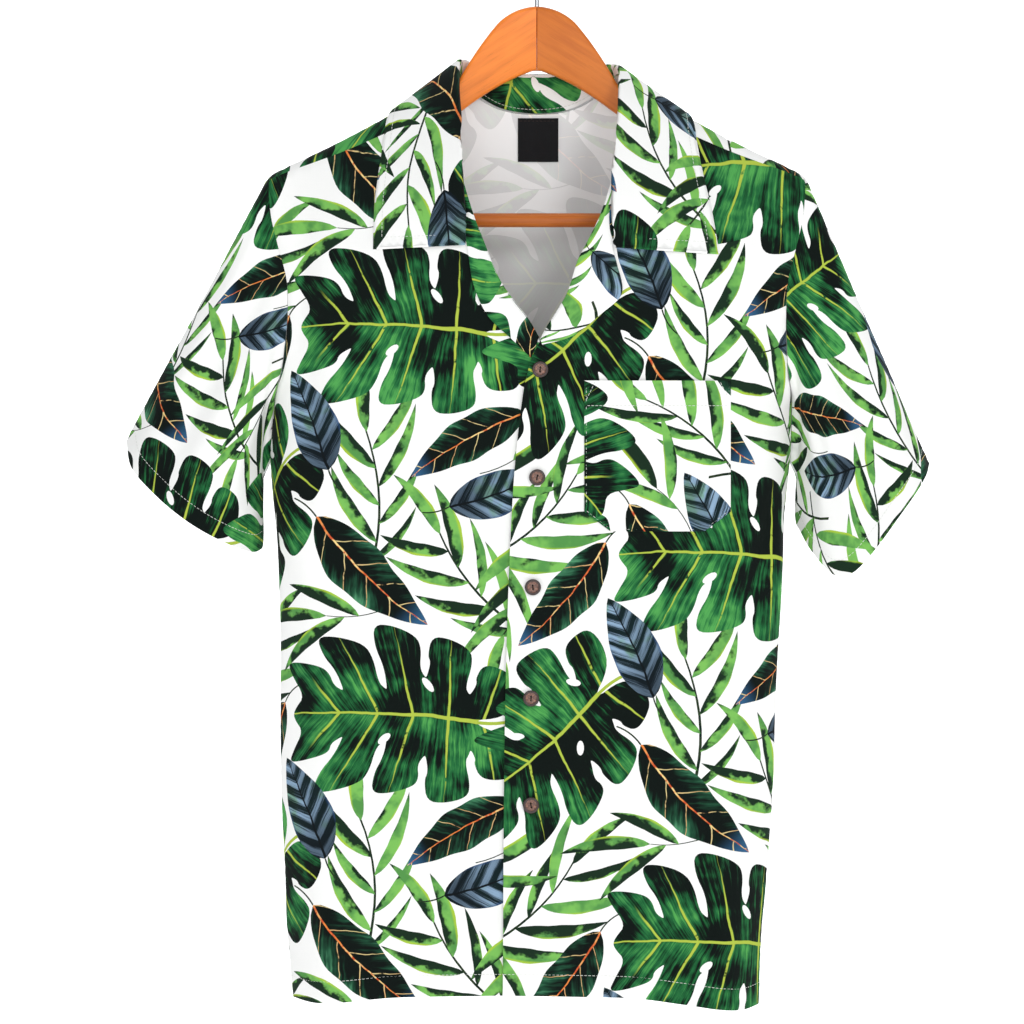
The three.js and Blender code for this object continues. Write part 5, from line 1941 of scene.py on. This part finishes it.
def button_mesh(name, x, y, z, turn):
    """A round button with a rim, a dish and two holes, its face towards the front."""
    outlines = [circle_points(0, BUTTON_RADIUS, 56)]
    outlines += [circle_points(hand * HOLE_SPREAD, HOLE_RADIUS, 20) for hand in (-1, 1)]
    inner = [circle_points(0, radius, int(8 + radius * 7)) for radius in BUTTON_RINGS]
    faces, start = [], 0
    for outline in outlines:
        faces.append(list(range(start, start + len(outline))))
        start += len(outline)
    points = [Vector(point) for point in np.vstack(outlines + inner)]
    made = delaunay_2d_cdt(points, [], faces, 1, 1e-5, True)
    flat = np.array([tuple(point) for point in made[0]])
    triangles = np.array([tuple(face) for face, sources in zip(made[2], made[5]) if sources == [0]])
    away = np.hypot(flat[:, 0], flat[:, 1])
    top = button_height(away)
    bottom = -BUTTON_THICK / 2 + 0.5 * np.clip((away - 5.4) / 1.2, 0, 1) ** 2
    count = len(flat)
    upper = np.column_stack((flat[:, 0], -top, flat[:, 1]))
    lower = np.column_stack((flat[:, 0], -bottom, flat[:, 1]))
    sides = boundary_faces(triangles, count)
    rows = np.vstack((upper, lower))
    all_faces = np.vstack((triangles, triangles[:, ::-1] + count, sides))
    mesh = new_mesh(name, on_button(rows, x, y, z, turn) * METRE, all_faces)
    face_out(mesh)
    mesh_values(mesh, "cut", "POINT", rows[:, (0, 2, 1)])
    mesh.set_sharp_from_angle(angle=math.radians(50))
    return mesh


def circle_points(x, radius, count):
    turn = np.linspace(0, 2 * math.pi, count, endpoint=False)
    return np.stack((x + radius * np.cos(turn), radius * np.sin(turn)), axis=-1)


def boundary_faces(triangles, count):
    """Side faces between an upper layer and its copy below, along open edges."""
    edges, alone = open_edges(triangles, count)
    a, b = edges[alone].T
    near = np.stack((a, a + count, b), axis=-1)
    far = np.stack((b, a + count, b + count), axis=-1)
    return np.vstack((near, far))


def colour_setting(name, description, value):
    return bpy.props.FloatVectorProperty(
        name=name, description=description, subtype="COLOR", size=3, default=value
    )


class ShirtSettings(bpy.types.PropertyGroup):
    """Sizes and colours of the shirt and its hanger that can be changed."""

    cloth_thickness: bpy.props.FloatProperty(
        name="Cloth thickness", description="Thickness of one layer of cloth, in millimetres",
        default=0.9, min=0.3, max=1.2,
    )
    cloth_step: bpy.props.FloatProperty(
        name="Cloth detail", description="Distance between the points of the cloth, in millimetres",
        default=5.5, min=3.0, max=12.0,
    )
    ground_colour: colour_setting(
        "Ground colour", "Colour of the cloth between the leaves", (0.86, 0.86, 0.84)
    )
    leaf_colour: colour_setting(
        "Leaf green", "Brightest green of the large leaves", (0.080, 0.350, 0.080)
    )
    # On the wrong side this also lightens the cloth past its ground colour, as painted light inside the
    # shirt
    wash: bpy.props.FloatProperty(
        name="Wrong side", description="How far the print fades on the wrong side of the cloth",
        default=0.78, min=0.0, max=1.0, subtype="FACTOR",
    )
    wood_light: colour_setting("Light wood", "Light tone of the hanger's wood", (0.77, 0.210, 0.024))
    wood_dark: colour_setting("Dark wood", "Dark tone of the hanger's wood", (0.60, 0.142, 0.014))


def sew(node, outline, surface, lines=(), step=None, thick=None):
    """Makes the printed sheet of one node, with its topstitching."""
    settings = bpy.context.scene.shirt_settings
    step = step or settings.cloth_step
    thick = thick or settings.cloth_thickness
    layout = print_layout(outline.min(axis=0), outline.max(axis=0), *PRINT_PLACES[node])
    name = node + "_cloth"
    mesh = cloth_mesh(name, outline, surface, layout, step, thick)
    piece = add_piece(name, mesh, printed_cloth(), (node,))
    if lines:
        name = node + "_stitches"
        thread = thread_material()
        add_piece(name, stitch_mesh(name, lines), thread, ())


# Camera and lights, in metres and watts
CAMERA_PLACE = (-0.0205, -5.25, -0.4802)
SENSOR = 36.0
FRAME_DISTANCE = 5.2
FRAME_WIDTH = 0.8397
WORLD_COLOUR = (0.95, 0.97, 1.0, 1.0)
WORLD_STRENGTH = 0.52
# Lights: name, place, target, size, power
LIGHTS = (
    ("key", (1.5, -3.4, 0.8), (0.0, 0.0, -0.5), 0.9, 33.5),
    ("fill", (-0.6, -4.8, 0.1), (0.0, 0.0, -0.5), 1.6, 29.5),
    ("top", (0.0, 0.3, 1.8), (0.0, 0.0, -0.4), 1.6, 12.0),
)


class SHIRT_OT_stage(bpy.types.Operator):
    """Backdrop, floor, lights and the camera"""

    bl_idname = "shirt.stage"
    bl_label = "Stage"

    def execute(self, context):
        scene = context.scene
        camera = bpy.data.objects.new("camera", bpy.data.cameras.new("camera"))
        scene.collection.objects.link(camera)
        camera.location = CAMERA_PLACE
        camera.rotation_euler = (QUARTER, 0.0, 0.0)
        camera.data.sensor_width = SENSOR
        camera.data.lens = SENSOR * FRAME_DISTANCE / FRAME_WIDTH
        camera.data.clip_end = 50.0
        scene.camera = camera
        backdrop = sweep_mesh()
        piece = bpy.data.objects.new("backdrop", backdrop)
        scene.collection.objects.link(piece)
        backdrop.materials.append(backdrop_material())
        for light in LIGHTS:
            self.light(scene, *light)
        world = scene.world or bpy.data.worlds.new("studio")
        scene.world = world
        world.use_nodes = True
        back = world.node_tree.nodes.get("Background")
        back.inputs["Color"].default_value = WORLD_COLOUR
        back.inputs["Strength"].default_value = WORLD_STRENGTH
        scene.view_settings.view_transform = "Standard"
        return {"FINISHED"}

    def light(self, scene, name, place, target, size, power):
        data = bpy.data.lights.new(name, "AREA")
        data.size = size
        data.energy = power
        lamp = bpy.data.objects.new(name, data)
        scene.collection.objects.link(lamp)
        lamp.location = place
        direction = Vector(target) - Vector(place)
        lamp.rotation_euler = direction.to_track_quat("-Z", "Y").to_euler()


def sweep_mesh():
    """A floor that curves up into a backdrop."""
    turn = np.linspace(0, QUARTER, 24)
    y = np.concatenate(([-9.0], 7.0 + 1.5 * np.sin(turn), [8.5]))
    z = np.concatenate(([-1.35], -1.35 + 1.5 * (1 - np.cos(turn)), [9.0]))
    left = np.column_stack((np.full(len(y), -12.0), y, z))
    right = left * (-1, 1, 1)
    count = len(y)
    points = np.vstack((left, right))
    faces = [(k, count + k, count + k + 1, k + 1) for k in range(count - 1)]
    return new_mesh("backdrop", points, faces)


class SHIRT_OT_hanger(bpy.types.Operator):
    """Both arms of the hanger, its bar and its hook"""

    bl_idname = "shirt.hanger"
    bl_label = "Hanger"

    def execute(self, context):
        settings = context.scene.shirt_settings
        light, dark = np.array(settings.wood_light), np.array(settings.wood_dark)

        # Copies of one wood, each made lighter or darker by its tone as painted light and shade
        def wood(name, scale, tone):
            return wood_material("wood_" + name, (*(light * tone), 1.0), (*(dark * tone), 1.0), scale)

        for name, hand, scale, tone in ARMS:
            mesh = arm_mesh(name, hand)
            add_piece(name.replace("arm", "wood"), mesh, wood(name, scale, tone), (name,))
        self.bar(wood("bar", *BAR_WOOD))
        self.hook()
        return {"FINISHED"}

    def bar(self, wood):
        y = -186.0 * ARM_TANGENT
        middle = np.linspace(-BAR_REACH + 3, BAR_REACH - 3, 40)
        x = np.concatenate(([-BAR_REACH, -BAR_REACH + 0.4], middle, [BAR_REACH - 0.4, BAR_REACH]))
        radii = np.full(len(x), BAR_RADIUS)
        radii[[0, -1]] = BAR_RADIUS - 0.6
        path = np.column_stack((x, np.full(len(x), y), np.full(len(x), BAR_Z)))
        mesh, points = tube_mesh("hanger_rod", path, radii, 40)
        mesh_values(mesh, "grain", "POINT", points + (300, 0, 500))
        mesh.set_sharp_from_angle(angle=math.radians(40))
        add_piece("hanger_rod", mesh, wood, ("hanger_bar",))

    def hook(self):
        low = HOOK_CENTRE - HOOK_BEND
        route = [(0, -88), (0, -66), (1.5, low - 8), (12, low + 2.5)]
        for degrees in range(-20, 201, 20):
            angle = math.radians(degrees)
            route.append((HOOK_BEND * math.cos(angle), HOOK_CENTRE + HOOK_BEND * math.sin(angle)))
        path = spline(np.array([(x, 0, z) for x, z in route], float), 170)
        radii = np.full(len(path), WIRE_RADIUS)
        radii[-3:] = (1.7, 1.3, 0.7)
        wire, _ = tube_mesh("hook_wire", path, radii, 20)
        add_piece("hook_wire", wire, wire_material(), ("hanger_hook",))


class SHIRT_OT_back(bpy.types.Operator):
    """The back of the shirt"""

    bl_idname = "shirt.back"
    bl_label = "Back"

    def execute(self, context):
        surface = back_surface()
        outline = back_outline(5.0)
        thick = context.scene.shirt_settings.cloth_thickness
        shares = np.linspace(-HEM_REACH, HEM_REACH, 200)
        lines = [line_on(surface, hem_line(1, shares), thick)]
        sew("back", outline, surface, lines, 6.5)
        return {"FINISHED"}


class SHIRT_OT_fronts(bpy.types.Operator):
    """Both fronts, the left one lapped over the right one"""

    bl_idname = "shirt.fronts"
    bl_label = "Fronts"

    def execute(self, context):
        thick = context.scene.shirt_settings.cloth_thickness
        for hand, node in ((-1, "front_right"), (1, "front_left")):
            surface = front_surface(hand)
            inner = float(share_at(-1, front_edge_x(hand, HEM_Z), HEM_Z)) + 0.004 * hand
            shares = np.linspace(inner, HEM_REACH * hand, 160)
            lines = [line_on(surface, hem_line(-1, shares), thick)]
            sew(node, front_outline(hand, 4.5), surface, lines)
        return {"FINISHED"}


class SHIRT_OT_sleeves(bpy.types.Operator):
    """Both short sleeves"""

    bl_idname = "shirt.sleeves"
    bl_label = "Sleeves"

    def execute(self, context):
        thick = context.scene.shirt_settings.cloth_thickness
        for hand, node in ((-1, "sleeve_right"), (1, "sleeve_left")):
            surface, turns, caps, hems = sleeve_surface(hand)
            outline = sleeve_outline(turns, caps, hems, 4.5)
            cuff = np.stack((turns * SLEEVE_ROUND, hems + CUFF_STITCH), axis=-1)[1:-1]
            sew(node, outline, surface, [line_on(surface, cuff, thick)])
        return {"FINISHED"}


class SHIRT_OT_collar(bpy.types.Operator):
    """The camp collar"""

    bl_idname = "shirt.collar"
    bl_label = "Collar"

    def execute(self, context):
        grid = collar_grid()
        width = np.linalg.norm(np.diff(grid[:, COLLAR_WIDTH_ROW], axis=0), axis=1).sum()
        height = np.linalg.norm(np.diff(grid, axis=1), axis=2).sum(axis=1).mean()

        def lift(flat):
            from_edge = height - flat[:, 1]
            ends = np.minimum(flat[:, 0], width - flat[:, 0])
            rim = np.minimum(from_edge, ends)
            dip = -0.35 * np.exp(-(((rim - COLLAR_SEAM) / 1.2) ** 2))
            soft = 0.35 * ripple(flat[:, 0], flat[:, 1], 26, 3.3) * smooth(rim / 15)
            return dip + soft - 0.45 * smooth((2.2 - rim) / 2.2)

        surface = grid_surface(grid, width, height, lift, ((0.04, 0.8), (0.05, 0.8)))
        outline = corner_outline(box_corners(0, 0, width, height), 3.5)
        left, right, top = COLLAR_SEAM, width - COLLAR_SEAM, height - COLLAR_SEAM
        lines = lines_on(surface, ((left, 30), (left, top), (right, top), (right, 30)), COLLAR_THICK)
        neck = ((width * 0.30, 2.8), (width * 0.70, 2.8))
        lines += lines_on(surface, neck, COLLAR_THICK)
        sew("collar", outline, surface, lines, 4.2, COLLAR_THICK)
        return {"FINISHED"}


class SHIRT_OT_lapels(bpy.types.Operator):
    """The turned-back lapels"""

    bl_idname = "shirt.lapels"
    bl_label = "Lapels"

    def execute(self, context):
        def lift(flat):
            return 0.1 * ripple(flat[:, 0], flat[:, 1], 14, 1.1)

        for hand, table in (("right", LAPEL_RIGHT), ("left", LAPEL_LEFT)):
            grid = lapel_grid(table, hand == "left")
            height = np.linalg.norm(np.diff(grid, axis=1), axis=2).sum(axis=1).max()
            width = np.linalg.norm(np.diff(grid[:, LAPEL_ACROSS // 2], axis=0), axis=1).sum()

            surface = grid_surface(grid, width, height, lift, ((0.5, 0.6), (0.6, 0.6)))
            outline = corner_outline(box_corners(0, 0, width, height), 2.5)
            sew("lapel_" + hand, outline, surface, step=3.5)
        return {"FINISHED"}


class SHIRT_OT_pocket(bpy.types.Operator):
    """The chest pocket"""

    bl_idname = "shirt.pocket"
    bl_label = "Pocket"

    def execute(self, context):
        thick = context.scene.shirt_settings.cloth_thickness
        surface = pocket_surface()
        corners = (
            (POCKET_LEFT, POCKET_SIDE),
            (POCKET_LEFT + POCKET_CUT, POCKET_BOTTOM),
            (POCKET_RIGHT - POCKET_CUT, POCKET_BOTTOM),
            (POCKET_RIGHT, POCKET_SIDE),
            (POCKET_RIGHT, POCKET_TOP),
            (POCKET_LEFT, POCKET_TOP),
        )
        outline = corner_outline(corners, 3.0)
        left, right = POCKET_LEFT + POCKET_SEAM, POCKET_RIGHT - POCKET_SEAM
        side, bottom, top = POCKET_SIDE + 1, POCKET_BOTTOM + POCKET_SEAM, POCKET_TOP - 1
        rim = (
            (left, top), (left, side), (POCKET_LEFT + POCKET_CUT, bottom),
            (POCKET_RIGHT - POCKET_CUT, bottom), (right, side), (right, top),
        )
        lines = lines_on(surface, rim, thick)
        hem = POCKET_TOP - POCKET_HEM
        lines += lines_on(surface, ((POCKET_LEFT + 2, hem), (POCKET_RIGHT - 2, hem)), thick)
        for hand, x in ((1, left), (-1, right)):
            lines += lines_on(surface, ((x + 7 * hand, top), (x, POCKET_TOP - 16)), thick)
        sew("pocket", outline, surface, lines, 4.0)
        return {"FINISHED"}


class SHIRT_OT_label(bpy.types.Operator):
    """The plain black neck label"""

    bl_idname = "shirt.label"
    bl_label = "Label"

    def execute(self, context):
        left, right, bottom, top = LABEL_BOX

        def place(flat):
            x, z = flat[:, 0], flat[:, 1]
            inward = 1.15 + 0.35 * smooth((top - z) / 20)
            return np.stack((x, face_y(1, x, z) - inward, z), axis=-1)

        def lift(flat):
            return -0.15 * np.exp(-((top - 2.5 - flat[:, 1]) ** 2))

        surface = raised(place, lift, 1)
        outline = corner_outline(box_corners(left, bottom, right, top), 1.5)
        mesh = cloth_mesh("label_cloth", outline, surface, [], 2.0, LABEL_THICK)
        piece = add_piece("label_cloth", mesh, label_material(), ("label",))
        height = top - 2.2
        lines = lines_on(surface, ((left + 1, height), (right - 1, height)), LABEL_THICK)
        stitches = add_piece(
            "label_stitches", stitch_mesh("label_stitches", lines),
            dark_thread_material(), (),
        )
        return {"FINISHED"}


class SHIRT_OT_buttons(bpy.types.Operator):
    """Five brown buttons and their thread"""

    bl_idname = "shirt.buttons"
    bl_label = "Buttons"

    def execute(self, context):
        shell = button_material()
        thread = dark_thread_material()
        for number, (x, z) in enumerate(BUTTON_PLACES, 1):
            y = float(face_y(-1, np.array(x, float), np.array(z, float)))
            y = y - float(lap_lift(np.array(x, float), np.array(z, float))) - 0.6 - 0.5
            turn = math.radians(BUTTON_TURNS[number - 1])
            name = "button_%d" % number
            mesh = button_mesh(name + "_shell", x, y, z, turn)
            add_piece(name + "_shell", mesh, shell, (name,))
            self.thread(number, x, y, z, turn, thread)
        return {"FINISHED"}

    def thread(self, number, x, y, z, turn, material):
        """Two strands between the holes, and one down through each hole."""
        parts = []
        for shift in (-0.3, 0.3):
            t = np.linspace(-1, 1, 15)
            across = t * HOLE_SPREAD
            high = BUTTON_THICK / 2 - 0.15 - 1.6 * np.abs(t) ** 6
            parts.append(np.stack((across, -high, np.full(15, shift)), axis=-1))
        for hand in (-1, 1):
            low = np.linspace(0.4, -BUTTON_THICK / 2 - 1.0, 6)
            parts.append(np.stack((np.full(6, hand * HOLE_SPREAD), -low, np.zeros(6)), axis=-1))
        points, faces, start = [], [], 0
        for k, path in enumerate(parts):
            moved = on_button(path, x, y, z, turn)
            radius, up = (0.3, (0.3, 0.1, 1)) if k < 2 else (0.45, (1, 0, 0))
            mesh, part = tube_mesh("strand", moved, radius, 8, up)
            part_faces = np.array([tuple(face.vertices) for face in mesh.polygons])
            bpy.data.meshes.remove(mesh)
            points.append(part)
            faces.append(part_faces + start)
            start += len(part)
        name = "button_%d_thread" % number
        mesh = new_mesh(name, np.vstack(points) * METRE, np.vstack(faces))
        add_piece(name, mesh, material, ())


STEPS = (
    ("stage", "Stage"),
    ("hanger", "Hanger"),
    ("back", "Back"),
    ("fronts", "Fronts"),
    ("sleeves", "Sleeves"),
    ("collar", "Collar"),
    ("lapels", "Lapels"),
    ("pocket", "Pocket"),
    ("label", "Label"),
    ("buttons", "Buttons"),
)


class SHIRT_PT_panel(bpy.types.Panel):
    """Sizes, colours and the steps of the shirt"""

    bl_idname = "SHIRT_PT_panel"
    bl_label = "Hawaiian Shirt"
    bl_space_type = "VIEW_3D"
    bl_region_type = "UI"
    bl_category = "Shirt"

    def draw(self, context):
        settings = context.scene.shirt_settings
        for name in settings.bl_rna.properties.keys():
            if name not in {"rna_type", "name"}:
                self.layout.prop(settings, name)
        for name, label in STEPS:
            self.layout.operator("shirt." + name, text=label)


CLASSES = (
    ShirtSettings,
    SHIRT_OT_stage,
    SHIRT_OT_hanger,
    SHIRT_OT_back,
    SHIRT_OT_fronts,
    SHIRT_OT_sleeves,
    SHIRT_OT_collar,
    SHIRT_OT_lapels,
    SHIRT_OT_pocket,
    SHIRT_OT_label,
    SHIRT_OT_buttons,
    SHIRT_PT_panel,
)


def register():
    for item in CLASSES:
        bpy.utils.register_class(item)
    bpy.types.Scene.shirt_settings = bpy.props.PointerProperty(type=ShirtSettings)


def unregister():
    del bpy.types.Scene.shirt_settings
    for item in reversed(CLASSES):
        bpy.utils.unregister_class(item)


def main():
    register()
    for name, _ in STEPS:
        getattr(bpy.ops.shirt, name)()


if __name__ == "__main__":
    main()
